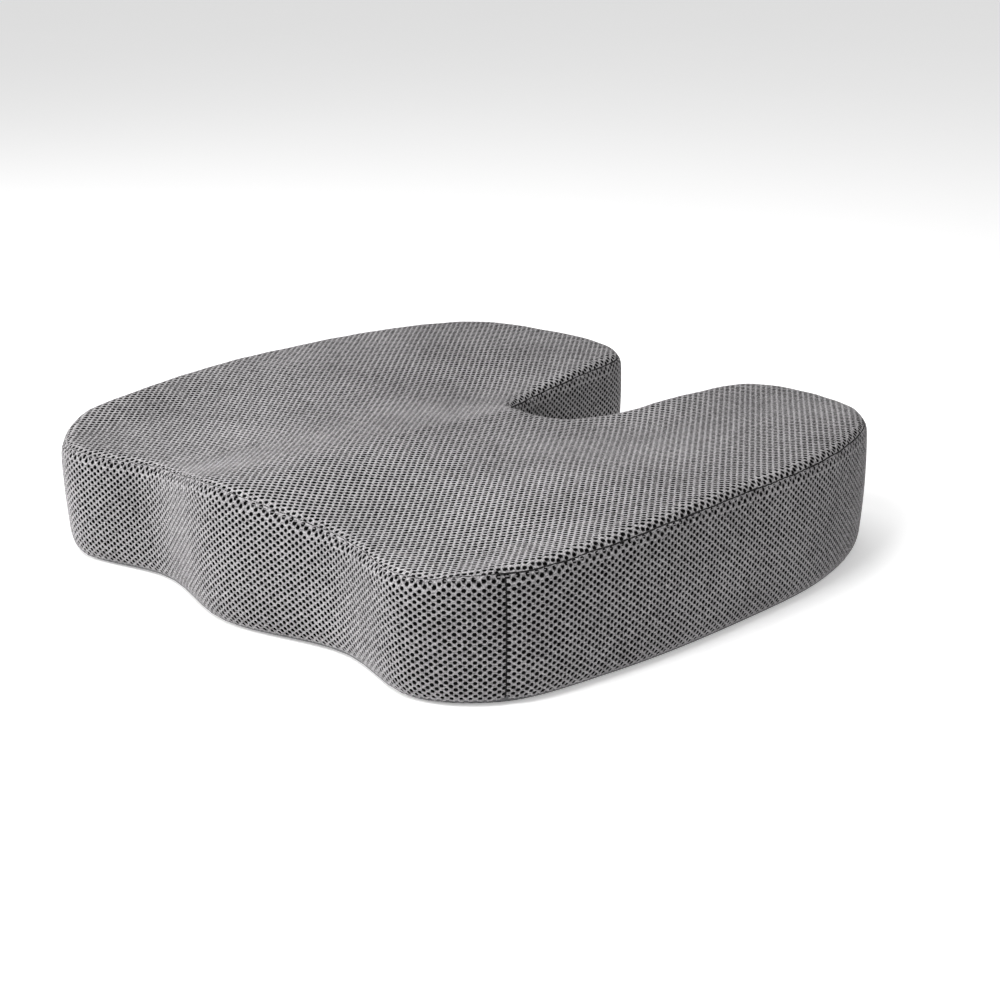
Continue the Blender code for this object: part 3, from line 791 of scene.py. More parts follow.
@dataclass
class BakeLayout:
    """Where the flat cloth goes in its baked picture, in rows if it is long."""

    low: np.ndarray
    span: float
    row_length: float
    row_height: float
    centres: np.ndarray

    MARGIN = 4.0

    def read(self, flat: np.ndarray, owner: np.ndarray) -> np.ndarray:
        """The place in the picture of each corner of each face.

        Args:
            flat: Where the corner lies on the cloth.
            owner: Which hole's cell the face belongs to.

        Returns:
            Places from 0 to 1.
        """
        row = np.floor((self.centres[owner, 0] - self.low[0]) / self.row_length)
        across = flat[:, 0] - self.low[0] - row * self.row_length + self.MARGIN
        up = flat[:, 1] - self.low[1] + row * self.row_height + self.MARGIN
        return np.column_stack([across, up]) / self.span


class PanelCut:
    """What is kept of a flat cloth and how it lies on the cushion."""

    def keeps(self, flat: np.ndarray) -> np.ndarray:
        """Whether the hole at each flat place is inside the panel."""
        raise NotImplementedError

    def snapped(self, flat: np.ndarray) -> np.ndarray:
        """Flat places moved to the panel's cut edge."""
        raise NotImplementedError

    def placed(self, flat: np.ndarray) -> np.ndarray:
        """Flat places laid on the cushion."""
        raise NotImplementedError

    def room(self, flat: np.ndarray) -> np.ndarray:
        """How deep a hole may be at each flat place."""
        raise NotImplementedError

    def laid(self, flat: np.ndarray) -> tuple[np.ndarray, np.ndarray, np.ndarray]:
        """Flat places laid on the cushion, with the outward direction and the room under each."""
        step = 0.2
        place = self.placed(flat)
        with_first = self.placed(flat + (step, 0.0)) - self.placed(flat - (step, 0.0))
        with_second = self.placed(flat + (0.0, step)) - self.placed(flat - (0.0, step))
        normal = np.cross(with_first, with_second)
        normal /= np.maximum(np.linalg.norm(normal, axis=1), 1e-9)[:, None]
        return place, normal, self.room(flat)

    def layout(self, flat: np.ndarray, centres: np.ndarray) -> BakeLayout:
        """The panel's layout in its baked picture."""
        raise NotImplementedError


@dataclass
class TopCut(PanelCut):
    """The top panel: cut to the outline, with an edge that rolls down to the seam."""

    shape: CushionShape
    loop: Loop
    roll_width: float = 8.5
    roll_drop: float = 4.6
    front_roll: float = 0.45
    seam_inset: float = -1.0
    front_seam_inset: float = 1.6
    corner_blend: float = 26.0
    hole_room: float = 1.3
    gather_depth: float = 0.35
    gather_reach: float = 8.0
    soft_depth: float = 0.35
    edge_room: float = 1.3

    def __post_init__(self) -> None:
        """Measures the rolled edge."""
        self.arc, self.level, self.upright = quarter_ellipse(self.roll_width, self.roll_drop)
        self.extra = self.arc[-1] - self.roll_width

    def frontness(self, s: np.ndarray) -> np.ndarray:
        """How far distances along the outline belong to the front, where the band turns over the edge."""
        from_front = np.abs(np.mod(s + self.loop.length / 2, self.loop.length) - self.loop.length / 2)
        corner = self.loop.corner
        return 1.0 - share_between(corner - self.corner_blend, corner + self.corner_blend, from_front)

    def inset(self, s: np.ndarray) -> np.ndarray:
        """How far in from the outline the top seam lies."""
        return self.seam_inset + (self.front_seam_inset - self.seam_inset) * self.frontness(s)

    def roll(self, s: np.ndarray) -> np.ndarray:
        """How far the top panel turns down at its seam."""
        return self.roll_drop * (1.0 - (1.0 - self.front_roll) * self.frontness(s))

    def seam_height(self, s: np.ndarray) -> np.ndarray:
        """The seam's height at distances along the outline."""
        place, out = self.loop.read(s)
        place = place - out * self.inset(s)[:, None]
        return self.shape.top_height(place[:, 0], place[:, 1]) - self.roll(s) + self.gathers(s)

    def gathers(self, s: np.ndarray) -> np.ndarray:
        """How far the thread lifts or pulls down the cloth along the seam."""
        return self.gather_depth * self.loop.wander(s, ((27.0, 0.5), (41.0, 0.3), (73.0, 0.4)))

    def _inside(self, flat: np.ndarray) -> Pair:
        """The distance along the outline of flat places, and their distance in from the cut edge."""
        s, inside = self.loop.nearest(flat)
        return s, inside - self.inset(s) + self.extra

    def keeps(self, flat: np.ndarray) -> np.ndarray:
        """Whether the hole at each flat place is inside the panel."""
        return self._inside(flat)[1] > self.edge_room

    def snapped(self, flat: np.ndarray) -> np.ndarray:
        """Flat places moved to the panel's cut edge."""
        s, inside = self._inside(flat)
        place, out = self.loop.read(s)
        return place + out * (self.extra - self.inset(s))[:, None]

    def placed(self, flat: np.ndarray) -> np.ndarray:
        """Flat places laid on the cushion."""
        s, inside = self._inside(flat)
        rolled = inside < self.arc[-1]
        along = np.clip(inside, 0.0, self.arc[-1])
        level = np.interp(along, self.arc, self.level)
        up = np.interp(along, self.arc, self.upright)
        out = self.loop.read(s)[1]
        plan = flat.copy()
        shift = (level - (along - self.extra))[:, None]
        plan[rolled] -= (out * shift)[rolled]
        drop = np.where(rolled, (1.0 - up / self.roll_drop) * self.roll(s), 0.0)
        fade = np.exp(-np.maximum(inside, 0.0) / self.gather_reach)
        soft = self.soft_depth * np.sin(plan[:, 0] / 31.0 + 0.4) * np.sin(plan[:, 1] / 37.0 + 1.1)
        height = self.shape.top_height(plan[:, 0], plan[:, 1]) - drop
        return np.column_stack([plan, height + self.gathers(s) * fade + soft * (1.0 - fade)])

    def room(self, flat: np.ndarray) -> np.ndarray:
        """How deep a hole may be at each flat place."""
        return np.full(len(flat), self.hole_room)

    def layout(self, flat: np.ndarray, centres: np.ndarray) -> BakeLayout:
        """The panel's layout in its baked picture, in one row."""
        low = flat.min(axis=0)
        size = flat.max(axis=0) - low
        return BakeLayout(low, float(size.max()) + 2 * BakeLayout.MARGIN, 2 * float(size[0]), 0.0, centres)


@dataclass
class BandCut(PanelCut):
    """A band round the side, from one upright seam to another."""

    top: TopCut
    start: float
    end: float
    base_inset: float = 6.0
    base_round: float = 13.0
    base_lift: float = 0.9
    bulge: float = 1.5
    fullness: float = 2.6
    lean: float = 3.6
    slow_wave: float = 0.5
    pucker: float = 0.55
    corner_tuck: float = 1.1
    corner_pull: float = 0.5
    foam_gap: float = 3.3

    def __post_init__(self) -> None:
        """Measures the rounded lower edge."""
        arc, level, upright = quarter_ellipse(self.base_round, self.base_inset)
        self.arc = arc
        self.rise = level
        self.reach = upright
        self.extra = arc[-1] - self.base_round

    def cut_height(self, s: np.ndarray) -> np.ndarray:
        """The flat cloth's height at distances along the outline."""
        return self.top.seam_height(s) - self.base_lift + self.extra

    def keeps(self, flat: np.ndarray) -> np.ndarray:
        """Whether the hole at each flat place is inside the panel."""
        s, up = flat[:, 0], flat[:, 1]
        return (s > self.start + 0.8) & (s < self.end - 0.8) & (up > 1.5) & (up < self.cut_height(s) - 1.1)

    def snapped(self, flat: np.ndarray) -> np.ndarray:
        """Flat places moved to the panel's cut edge."""
        s, up = flat[:, 0].copy(), flat[:, 1].copy()
        high = self.cut_height(s)
        gaps = np.stack([np.abs(s - self.start), np.abs(s - self.end), np.abs(up), np.abs(up - high)])
        near = gaps.argmin(axis=0)
        s = np.where(near == 0, self.start, np.where(near == 1, self.end, s))
        up = np.where(near == 2, 0.0, np.where(near == 3, high, up))
        return np.column_stack([s, up])

    def profile(self, s: np.ndarray, up: np.ndarray) -> Pair:
        """How far out of the outline and how high the cloth lies.

        Args:
            s: Distances along the outline.
            up: Distances up the flat cloth.

        Returns:
            Offsets outwards and heights.
        """
        rounded = up < self.arc[-1]
        rise = np.where(rounded, np.interp(up, self.arc, self.rise), up - self.extra)
        reach = np.where(rounded, np.interp(up, self.arc, self.reach), self.base_inset)
        height = self.base_lift + rise
        seam = self.top.seam_height(s)
        below = np.maximum(seam - height, 0.0)
        share = np.clip(height / seam, 0.0, 1.0)
        swell = self.bulge * np.sin(math.pi * share) ** 0.8 + self.fullness - self.lean * (1.0 - share)
        swell += self.slow_wave * np.sin(s / 43.0 + 1.3) * np.sin(math.pi * share)
        pucker = self.pucker * self.top.loop.wander(s, ((19.0, 0.35), (31.0, 0.4), (57.0, 0.5)))
        swell += pucker * (np.exp(-below / 10.0) - 0.5 * np.exp(-below / 2.5))
        inset = self.top.inset(s)
        swell -= (inset + self.fullness) * np.exp(-below / (1.4 + 0.5 * (inset + self.fullness)))
        corner = np.minimum(np.abs(s - self.start), np.abs(s - self.end))
        swell -= self.corner_tuck * np.exp(-corner / 1.8) + self.corner_pull * np.exp(-corner / 7.0)
        return reach - self.base_inset + swell, height

    def placed(self, flat: np.ndarray) -> np.ndarray:
        """Flat places laid on the cushion."""
        offset, height = self.profile(flat[:, 0], flat[:, 1])
        place, out = self.top.loop.read(flat[:, 0])
        return np.column_stack([place + out * offset[:, None], height])

    def room(self, flat: np.ndarray) -> np.ndarray:
        """How deep a hole may be at each flat place."""
        offset = self.profile(flat[:, 0], flat[:, 1])[0]
        return np.clip(self.foam_gap + offset, 0.5, self.top.hole_room)

    def layout(self, flat: np.ndarray, centres: np.ndarray) -> BakeLayout:
        """The panel's layout in its baked picture, in rows one above another."""
        margin = BakeLayout.MARGIN
        low = flat.min(axis=0)
        height = float(flat[:, 1].max() - low[1]) + 2 * margin
        length = float(flat[:, 0].max() - low[0])
        rows = max(1, round(math.sqrt(length / height)))
        span = max(length / rows + 4 * margin, rows * height + 2 * margin)
        return BakeLayout(low, span, length / rows, height, centres)


# ---------------------------------------------------------------- modelling helpers


def deselect_everything() -> None:
    """Leaves object mode with nothing selected."""
    if bpy.context.mode != "OBJECT":
        bpy.ops.object.mode_set(mode="OBJECT")
    bpy.ops.object.select_all(action="DESELECT")


def take(obj: bpy.types.Object) -> None:
    """Selects one object and makes it active."""
    deselect_everything()
    obj.select_set(True)
    bpy.context.view_layer.objects.active = obj


def named(name: str) -> bpy.types.Object:
    """Names the active object and its mesh."""
    obj = bpy.context.object
    obj.name = name
    obj.data.name = name
    return obj


def settle(obj: bpy.types.Object) -> None:
    """Applies an object's modifiers and its place, with smooth shading on its soft edges."""
    take(obj)
    for modifier in list(obj.modifiers):
        bpy.ops.object.modifier_apply(modifier=modifier.name)
    bpy.ops.object.transform_apply(location=True, rotation=True, scale=True)
    bpy.ops.object.shade_smooth_by_angle(angle=math.radians(40))


def linked(name: str, mesh: bpy.types.Mesh) -> bpy.types.Object:
    """A new piece with a mesh, in the scene."""
    obj = bpy.data.objects.new(name, mesh)
    bpy.context.scene.collection.objects.link(obj)
    return obj


def mesh_object(name: str, points: np.ndarray, faces: list[list[int]]) -> bpy.types.Object:
    """A piece made from points in millimetres and faces."""
    mesh = bpy.data.meshes.new(name)
    mesh.from_pydata((points * MM).tolist(), [], faces)
    return linked(name, mesh)


def fill_mesh(mesh: bpy.types.Mesh, points: np.ndarray, loops: np.ndarray, sizes: np.ndarray) -> None:
    """Fills a mesh with many smooth faces at once.

    Args:
        mesh: The empty mesh.
        points: Places in millimetres.
        loops: The faces' corners, one face after another.
        sizes: How many corners each face has.
    """
    mesh.vertices.add(len(points))
    mesh.vertices.foreach_set("co", (points * MM).astype(np.float32).ravel())
    mesh.loops.add(len(loops))
    mesh.loops.foreach_set("vertex_index", loops.astype(np.int32))
    mesh.polygons.add(len(sizes))
    starts = np.concatenate([[0], np.cumsum(sizes)[:-1]])
    mesh.polygons.foreach_set("loop_start", starts.astype(np.int32))
    mesh.update(calc_edges=True)
    mesh.polygons.foreach_set("use_smooth", np.ones(len(sizes), bool))


def copies_of(model: bpy.types.Object, name: str, axes: np.ndarray, origins: np.ndarray) -> bpy.types.Object:
    """One piece that holds many copies of a modelled shape.

    Args:
        model: The shape, at the origin. It is removed.
        name: The new piece's name.
        axes: For each copy, its three axes as columns.
        origins: For each copy, its place in millimetres.

    Returns:
        The new piece.
    """
    corners = np.array([vert.co for vert in model.data.vertices]) / MM
    placed = np.einsum("nij,kj->nki", axes, corners) + origins[:, None, :]
    faces = [list(face.vertices) for face in model.data.polygons]
    firsts = np.arange(len(origins))[:, None] * len(corners)
    loops = (np.concatenate(faces)[None, :] + firsts).ravel()
    sizes = np.tile([len(face) for face in faces], len(origins))
    bpy.data.objects.remove(model)
    mesh = bpy.data.meshes.new(name)
    fill_mesh(mesh, placed.reshape(-1, 3), loops, sizes)
    return linked(name, mesh)


def cord_along(name: str, line: np.ndarray, radius: np.ndarray, closed: bool) -> bpy.types.Object:
    """A round cord along a line.

    Args:
        name: The piece's name.
        line: Points in millimetres.
        radius: The cord's radius at each point in millimetres.
        closed: Whether its end meets its start.

    Returns:
        The cord.
    """
    ahead = np.roll(line, -1, axis=0) - np.roll(line, 1, axis=0)
    if not closed:
        ahead[0] = line[1] - line[0]
        ahead[-1] = line[-1] - line[-2]
    ahead /= np.linalg.norm(ahead, axis=1)[:, None]
    upright = np.abs(ahead[:, 2]).mean() > 0.7
    reference = np.array([1.0, 0.0, 0.0]) if upright else np.array([0.0, 0.0, 1.0])
    side = np.cross(ahead, reference)
    side /= np.linalg.norm(side, axis=1)[:, None]
    over = np.cross(side, ahead)
    turn = np.linspace(0.0, 2 * math.pi, CORD_SIDES, endpoint=False)[None, :, None]
    circle = np.cos(turn) * side[:, None, :] + np.sin(turn) * over[:, None, :]
    points = (line[:, None, :] + radius[:, None, None] * circle).reshape(-1, 3)
    rings = np.arange(len(line) * CORD_SIDES).reshape(len(line), CORD_SIDES)
    after = np.roll(rings, -1, axis=0)
    quads = np.stack([rings, np.roll(rings, -1, axis=1), np.roll(after, -1, axis=1), after], axis=2)
    faces = (quads if closed else quads[:-1]).reshape(-1, 4).tolist()
    if not closed:
        faces += [rings[0][::-1].tolist(), rings[-1].tolist()]
    obj = mesh_object(name, points, faces)
    take(obj)
    bpy.ops.object.mode_set(mode="EDIT")
    bpy.ops.mesh.select_all(action="SELECT")
    bpy.ops.mesh.normals_make_consistent(inside=False)
    bpy.ops.object.mode_set(mode="OBJECT")
    bpy.ops.object.shade_smooth_by_angle(angle=math.radians(50))
    return obj


def dress(obj: bpy.types.Object, material: bpy.types.Material, body: str) -> None:
    """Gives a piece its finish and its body.

    Args:
        obj: The piece.
        material: Its finish.
        body: The body that it rides on.
    """
    obj.data.materials.clear()
    obj.data.materials.append(material)
    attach(obj, body)
    log.info("%s: %d faces on %s", obj.name, len(obj.data.polygons), body)


# ---------------------------------------------------------------- cover


@dataclass
class MeshCover:
    """The spacer-mesh panels, with the seams that join them."""

    shape: CushionShape
    loop: Loop
    top_lattice: HoleLattice = HoleLattice(4.6, 2.78, 1.22, 1.46, 0.16, 0.12)
    band_lattice: HoleLattice = HoleLattice(4.2, 2.66, 1.14, 1.40)
    cord_radius: float = 0.65
    corner_radius: float = 0.6
    corner_lift: float = 0.1
    base_seam_inset: float = 7.0
    floor_gap: float = 0.15
    front_slimming: float = 0.4
    stitch_length: float = 3.0
    stitch_gap: float = 1.1
    stitch_drop: float = 1.3
    thread_radius: float = 0.32
    margin: float = 8.0
    band_cloth: float = 110.0
    finish: bpy.types.Material = field(init=False)
    thread: bpy.types.Material = field(init=False)
    edge: bpy.types.Material = field(init=False)

    def __post_init__(self) -> None:
        """Lays out the cuts."""
        self.top = TopCut(self.shape, self.loop)
        corner = self.loop.corner
        self.front = BandCut(self.top, -corner, corner)
        self.rear = BandCut(self.top, corner, self.loop.length - corner)
        self.finish = SpacerMeshFinish().material()
        self.thread = ThreadFinish("seam_thread", (0.30, 0.29, 0.30), (0.13, 0.125, 0.13)).material()
        # The seam edge finish is near black: painted shade for the crevice along each seam.
        self.edge = ThreadFinish("painted_seam_shade", (0.03, 0.029, 0.03), (0.006, 0.006, 0.006)).material()

    def build(self) -> None:
        """Builds the panels, the seams and their stitches."""
        half_w = self.shape.width / 2 + self.margin
        half_d = self.shape.depth / 2 + self.margin
        top = PerforatedPanel("top_panel", self.top_lattice, RowsRun.ACROSS)
        self._keep(top.build((-half_w, -half_d), (half_w, half_d), self.top))
        for name, cut in (("front_band", self.front), ("rear_band", self.rear)):
            panel = PerforatedPanel(name, self.band_lattice, RowsRun.UPRIGHT)
            self._keep(panel.build((cut.start, 0.0), (cut.end, self.band_cloth), cut))
        self._seams()
        self._stitches()

    def _keep(self, panel: bpy.types.Object) -> None:
        """Dresses a panel and puts it in place of its frame node."""
        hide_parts(f"cover_{panel.name}")
        dress(panel, self.finish, "cushion")

    def seam_line(self, s: np.ndarray, further_in: float, drop: float) -> np.ndarray:
        """Points along the top seam, moved in and down."""
        place, out = self.loop.read(s)
        plan = place - out * (self.top.inset(s) + further_in)[:, None]
        return np.column_stack([plan, self.top.seam_height(s) - drop])

    def _seams(self) -> None:
        """A near-black cord along each gathered seam: painted shade in the crevice between two panels."""
        s = np.arange(0.0, self.loop.length - 1.0, 2.0)
        slim = self.cord_radius * (1.0 - self.front_slimming * self.top.frontness(s))
        top = cord_along("top_seam", self.seam_line(s, 0.15, 0.1), slim, True)
        place, out = self.loop.read(s)
        even = np.full(len(s), self.cord_radius)
        low = np.column_stack([place - out * self.base_seam_inset, even + self.floor_gap])
        base = cord_along("base_seam", low, even, True)
        dress(top, self.edge, "cushion")
        dress(base, self.edge, "cushion")
        for name, at in (("corner_seam_right", self.front.end), ("corner_seam_left", self.front.start)):
            up = np.linspace(0.0, float(self.front.cut_height(np.array([at]))[0]), 60)
            line, normal = self.front.laid(np.column_stack([np.full(len(up), at), up]))[:2]
            radius = np.full(len(up), self.corner_radius)
            cord = cord_along(name, line + normal * self.corner_lift, radius, False)
            dress(cord, self.edge, "cushion")

    def _stitch(self) -> bpy.types.Object:
        """One stitch: a short capsule of thread along X."""
        deselect_everything()
        lying = (0.0, math.pi / 2, 0.0)
        radius = self.thread_radius * MM
        bpy.ops.mesh.primitive_uv_sphere_add(segments=6, ring_count=5, radius=radius, rotation=lying)
        stitch = named("stitch")
        bpy.ops.object.transform_apply(location=True, rotation=True, scale=True)
        bpy.ops.object.mode_set(mode="EDIT")
        bpy.ops.mesh.select_all(action="SELECT")
        bpy.ops.transform.resize(value=(self.stitch_length / (2 * self.thread_radius), 1.0, 1.0))
        bpy.ops.object.mode_set(mode="OBJECT")
        return stitch

    def _stitches(self) -> None:
        """A row of stitches beside the top seam, on the band."""
        pace = self.stitch_length + self.stitch_gap
        s = np.arange(0.0, self.loop.length - pace / 2, pace)
        cut = BandCut(self.top, -1e6, 1e6)
        flat = np.column_stack([s, cut.cut_height(s) - self.stitch_drop])
        place, normal = cut.laid(flat)[:2]
        later = cut.placed(flat + (0.5, 0.0))
        ahead = later - place
        ahead /= np.linalg.norm(ahead, axis=1)[:, None]
        frames = np.stack([ahead, np.cross(normal, ahead), normal], axis=2)
        stitches = copies_of(self._stitch(), "top_seam_stitches", frames, place + normal * 0.12)
        dress(stitches, self.thread, "cushion")


@dataclass
class BaseCover:
    """The knitted underside: two panels with hems beside the zip, and grip dots."""

    shape: CushionShape
    loop: Loop
    zip_y: float = -62.0
    slot_half: float = 22.0
    panel_low: float = 0.9
    panel_high: float = 1.7
    edge_inset: float = 6.6
    hem_width: float = 5.0
    hem_end: float = 12.0
    hem_thickness: float = 0.8
    backing_thickness: float = 0.4
    tab_gap: float = 0.3
    tab_start: float = 168.0
    backing_height: float = 10.4
    dot_pitch: float = 9.0
    dot_radius: float = 1.5
    dot_gap: float = 3.0
    dot_margin: float = 4.0

    def outline(self, inset: float) -> np.ndarray:
        """The underside's outline, moved in."""
        s = np.arange(0.0, self.loop.length - 1.0, 4.0)
        place, out = self.loop.read(s)
        return place - out * inset

    def build(self) -> None:
        """Builds the panels, the hems and the dots."""
        cloth = ClothFinish("base_knit", (0.045, 0.045, 0.048), (0.014, 0.014, 0.016), 1.1, WeaveKind.KNIT)
        knit = cloth.material()
        for name, side in (("base_front", -1.0), ("base_rear", 1.0)):
            panel = self._panel(name, [((0.0, self.zip_y + side * self.slot_half), (0.0, side))])
            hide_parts(f"cover_{name}")
            dress(panel, knit, "cushion")
            dress(self._hem(f"{name}_hem", side), knit, "cushion")
        near_zip = self.slot_half - self.tab_gap
        for name, side in (("end_tab_left", -1.0), ("end_tab_right", 1.0)):
            cuts = [((0.0, self.zip_y - near_zip), (0.0, 1.0)), ((0.0, self.zip_y + near_zip), (0.0, -1.0))]
            tab = self._panel(name, cuts + [((side * self.tab_start, 0.0), (side, 0.0))])
            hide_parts(f"zip_{name}")
            dress(tab, knit, "cushion")
        dress(self._backing(), knit, "cushion")
        rubber = MouldedFinish("grip_rubber", (0.03, 0.03, 0.032), (0.012, 0.012, 0.013), 0.42, 2.0)
        dress(self._dots(), rubber.material(), "cushion")

    def _panel(self, name: str, cuts: list[tuple[Plan, Plan]]) -> bpy.types.Object:
        """One piece of the underside.

        Args:
            name: The piece's name.
            cuts: For each straight cut, a point on it and the direction of what is kept.

        Returns:
            The piece.
        """
        outline = self.outline(self.edge_inset)
        points = np.column_stack([outline, np.full(len(outline), self.panel_low)])
        panel = mesh_object(name, points, [list(range(len(points)))[::-1]])
        take(panel)
        bpy.ops.object.mode_set(mode="EDIT")
        for (x, y), (toward_x, toward_y) in cuts:
            bpy.ops.mesh.select_all(action="SELECT")
            spot, kept = (x * MM, y * MM, 0.0), (toward_x, toward_y, 0.0)
            bpy.ops.mesh.bisect(plane_co=spot, plane_no=kept, clear_inner=True, clear_outer=False)
        bpy.ops.mesh.select_all(action="SELECT")
        bpy.ops.mesh.quads_convert_to_tris(quad_method="BEAUTY", ngon_method="BEAUTY")
        bpy.ops.mesh.select_all(action="SELECT")
        bpy.ops.mesh.subdivide(number_cuts=1)
        bpy.ops.object.mode_set(mode="OBJECT")
        wall = panel.modifiers.new("thickness", "SOLIDIFY")
        wall.thickness = (self.panel_high - self.panel_low) * MM
        wall.offset = -1.0
        settle(panel)
        return panel

    def _hem(self, name: str, side: float) -> bpy.types.Object:
        """A folded hem along a panel's edge at the zip."""
        line = self.outline(self.edge_inset + 1.5)
        y = self.zip_y + side * (self.slot_half + self.hem_width / 2)
        near = line[np.abs(line[:, 1] - y) < 3.5]
        half = float(np.abs(near[:, 0]).min()) - self.hem_end
        deselect_everything()
        middle = (0.0, y * MM, (self.panel_low - 0.2) * MM)
        bpy.ops.mesh.primitive_cube_add(size=1.0, location=middle)
        hem = named(name)
        hem.scale = (2 * half * MM, self.hem_width * MM, self.hem_thickness * MM)
        bpy.ops.object.transform_apply(location=True, rotation=False, scale=True)
        soft = hem.modifiers.new("fold", "BEVEL")
        soft.width = 0.35 * MM
        soft.segments = 3
        settle(hem)
        return hem

    def _backing(self) -> bpy.types.Object:
        """A strip of the base cloth behind the zip, which keeps the coils off the foam."""
        deselect_everything()
        middle = (0.0, self.zip_y * MM, self.backing_height * MM)
        bpy.ops.mesh.primitive_cube_add(size=1.0, location=middle)
        backing = named("zip_backing")
        backing.scale = (2 * self.tab_start * MM, self.slot_half * MM, self.backing_thickness * MM)
        bpy.ops.object.transform_apply(location=True, rotation=False, scale=True)
        return backing

    def _dots(self) -> bpy.types.Object:
        """Low rubber dots in staggered rows over the underside."""
        deselect_everything()
        bpy.ops.mesh.primitive_uv_sphere_add(segments=10, ring_count=6, radius=self.dot_radius * MM)
        dot = named("dot")
        bpy.ops.object.mode_set(mode="EDIT")
        bpy.ops.mesh.select_all(action="SELECT")
        bpy.ops.transform.resize(value=(1.0, 1.0, 0.5))
        bpy.ops.mesh.bisect(plane_co=(0, 0, 0), plane_no=(0, 0, 1), clear_outer=True, use_fill=True)
        bpy.ops.object.mode_set(mode="OBJECT")
        half_w = self.shape.width / 2
        half_d = self.shape.depth / 2
        rows = np.arange(-half_d, half_d, self.dot_pitch * 0.87)
        columns = np.arange(-half_w, half_w, self.dot_pitch)
        x, y = np.meshgrid(columns, rows)
        x = x + (np.arange(len(rows)) % 2)[:, None] * self.dot_pitch / 2
        plan = np.column_stack([x.ravel(), y.ravel()])
        inside = self.loop.nearest(plan)[1] > self.edge_inset + self.dot_margin
        off_zip = np.abs(plan[:, 1] - self.zip_y) > self.slot_half + self.hem_width + self.dot_gap
        plan = plan[inside & off_zip]
        origins = np.column_stack([plan, np.full(len(plan), self.panel_low + 0.05)])
        frames = np.tile(np.eye(3), (len(plan), 1, 1))
        return copies_of(dot, "grip_dots", frames, origins)


# ---------------------------------------------------------------- zip, label and inside


@dataclass(frozen=True)
class ZipLooks:
    """The finishes of the zip's own nodes."""

    weave: WeaveKind = WeaveKind.TWILL

    def dress(self) -> None:
        """Gives each zip node its finish."""
        tape = ClothFinish("zip_tape_twill", (0.05, 0.05, 0.055), (0.012, 0.012, 0.014), 0.8, self.weave)
        nylon = MouldedFinish("zip_nylon", (0.07, 0.07, 0.075), (0.02, 0.02, 0.022), 0.3, 1.5)
        paint_nodes(("zip_tape_front", "zip_tape_rear"), tape.material())
        paint_nodes(("zip_chain_front", "zip_chain_rear"), nylon.material())
        stops = ("zip_bottom_stop", "zip_top_stop_front", "zip_top_stop_rear")
        paint_nodes(("zip_slider", "zip_pull", *stops), MetalFinish().material())


@dataclass(frozen=True)
class InsideLooks:
    """The finishes of the foam, its liner, the bindings and the label."""

    weave: WeaveKind = WeaveKind.TWILL

    def dress(self) -> None:
        """Gives each inner node its finish."""
        liner = ClothFinish("liner_weave", (0.10, 0.10, 0.105), (0.04, 0.04, 0.042), 0.7, WeaveKind.PLAIN)
        binding = ClothFinish("binding_tape", (0.15, 0.15, 0.155), (0.05, 0.05, 0.052), 0.9, self.weave)
        label = ClothFinish("label_satin", (0.88, 0.88, 0.87), (0.72, 0.72, 0.71), 0.35, self.weave, 0.4)
        paint_nodes(("foam_core",), FoamFinish().material())
        paint_nodes(("liner_upper", "liner_base"), liner.material())
        seams = ("top_seam_binding", "base_seam_binding")
        corners = ("corner_seam_binding_left", "corner_seam_binding_right")
        paint_nodes(seams + corners, binding.material())
        paint_nodes(("care_label",), label.material())


def paint_nodes(names: tuple[str, ...], material: bpy.types.Material) -> None:
    """Gives frame nodes a finish."""
    for name in names:
        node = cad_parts[name]
        node.data.materials.clear()
        node.data.materials.append(material)
        log.info("%s: painted with %s", name, material.name)


# ---------------------------------------------------------------- studio


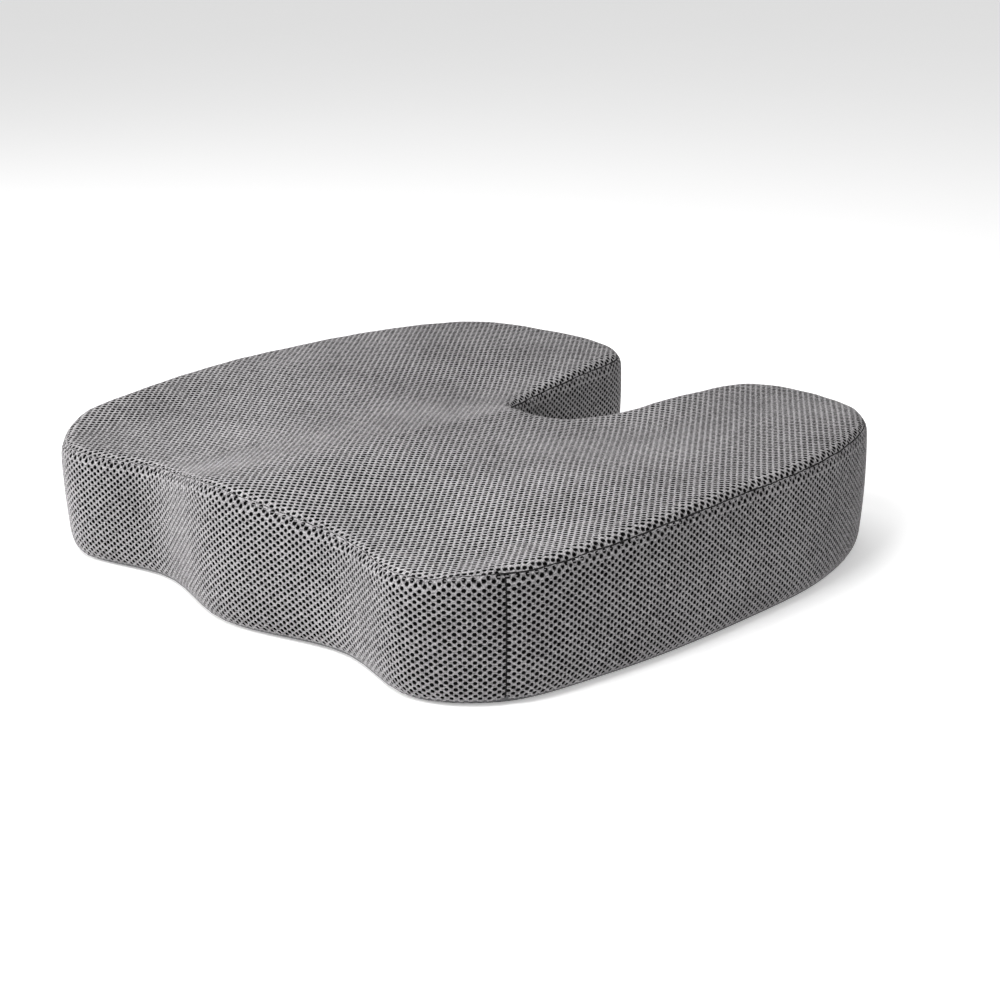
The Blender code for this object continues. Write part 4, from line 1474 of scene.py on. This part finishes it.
@dataclass(frozen=True)
class Studio:
    """The floor, the lights and the camera."""

    azimuth: float = 46.5
    elevation: float = 18.8
    distance: float = 1.42
    aim: tuple[float, float, float] = (-0.0017, 0.0234, 0.0226)
    lens: float = 76.0
    roll: float = -0.6

    def build(self) -> None:
        """Sets the stage."""
        self._floor()
        self._sky(0.36)
        self._softbox("key", (-1.1, -1.05, 0.56), 0.6, 19.0)
        self._softbox("overhead", (-0.2, 0.1, 1.65), 0.9, 9.0)
        self._softbox("near", (0.2, -0.45, 0.72), 0.35, 5.2)
        self._camera()

    def _floor(self) -> None:
        """A wide plain floor just under the cushion."""
        deselect_everything()
        bpy.ops.mesh.primitive_plane_add(size=30.0, location=(0.0, 0.0, -0.0002))
        floor = named("floor")
        bpy.ops.object.transform_apply(location=True, rotation=False, scale=False)
        floor.data.materials.append(FloorFinish().material())

    def _sky(self, strength: float) -> None:
        """Even white light from all round."""
        world = bpy.data.worlds.new("studio")
        world.use_nodes = True
        sky = world.node_tree.nodes["Background"]
        sky.inputs[0].default_value = (1.0, 1.0, 1.0, 1.0)
        sky.inputs[1].default_value = strength
        bpy.context.scene.world = world
        bpy.context.scene.view_settings.view_transform = "Standard"

    def _softbox(self, name: str, place: tuple[float, float, float], size: float, power: float) -> None:
        """A square soft light aimed at the cushion."""
        deselect_everything()
        bpy.ops.object.light_add(type="AREA", location=place)
        light = named(name)
        light.data.size = size
        light.data.energy = power
        toward = Vector(self.aim) - Vector(place)
        light.rotation_euler = toward.to_track_quat("-Z", "Y").to_euler()

    def _camera(self) -> None:
        """The camera, at the height of someone seated across a table."""
        turn, lift = math.radians(self.azimuth), math.radians(self.elevation)
        away = Vector((math.sin(turn) * math.cos(lift), -math.cos(turn) * math.cos(lift), math.sin(lift)))
        deselect_everything()
        bpy.ops.object.camera_add(location=Vector(self.aim) + away * self.distance)
        camera = named("camera")
        look = (-away).to_track_quat("-Z", "Y").to_matrix().to_4x4()
        tilt = look @ Matrix.Rotation(math.radians(self.roll), 4, "Z")
        camera.rotation_euler = tilt.to_euler()
        camera.data.lens = self.lens
        camera.data.sensor_width = 36.0
        bpy.context.scene.camera = camera


def main() -> None:
    """Builds the cushion's looks in order."""
    shape = CushionShape()
    loop = Loop(shape)
    log.info("outline: %.1f mm round, corner seam at %.1f mm", loop.length, loop.corner)
    MeshCover(shape, loop).build()
    BaseCover(shape, loop).build()
    ZipLooks().dress()
    InsideLooks().dress()
    Studio().build()


if __name__ == "__main__":
    main()
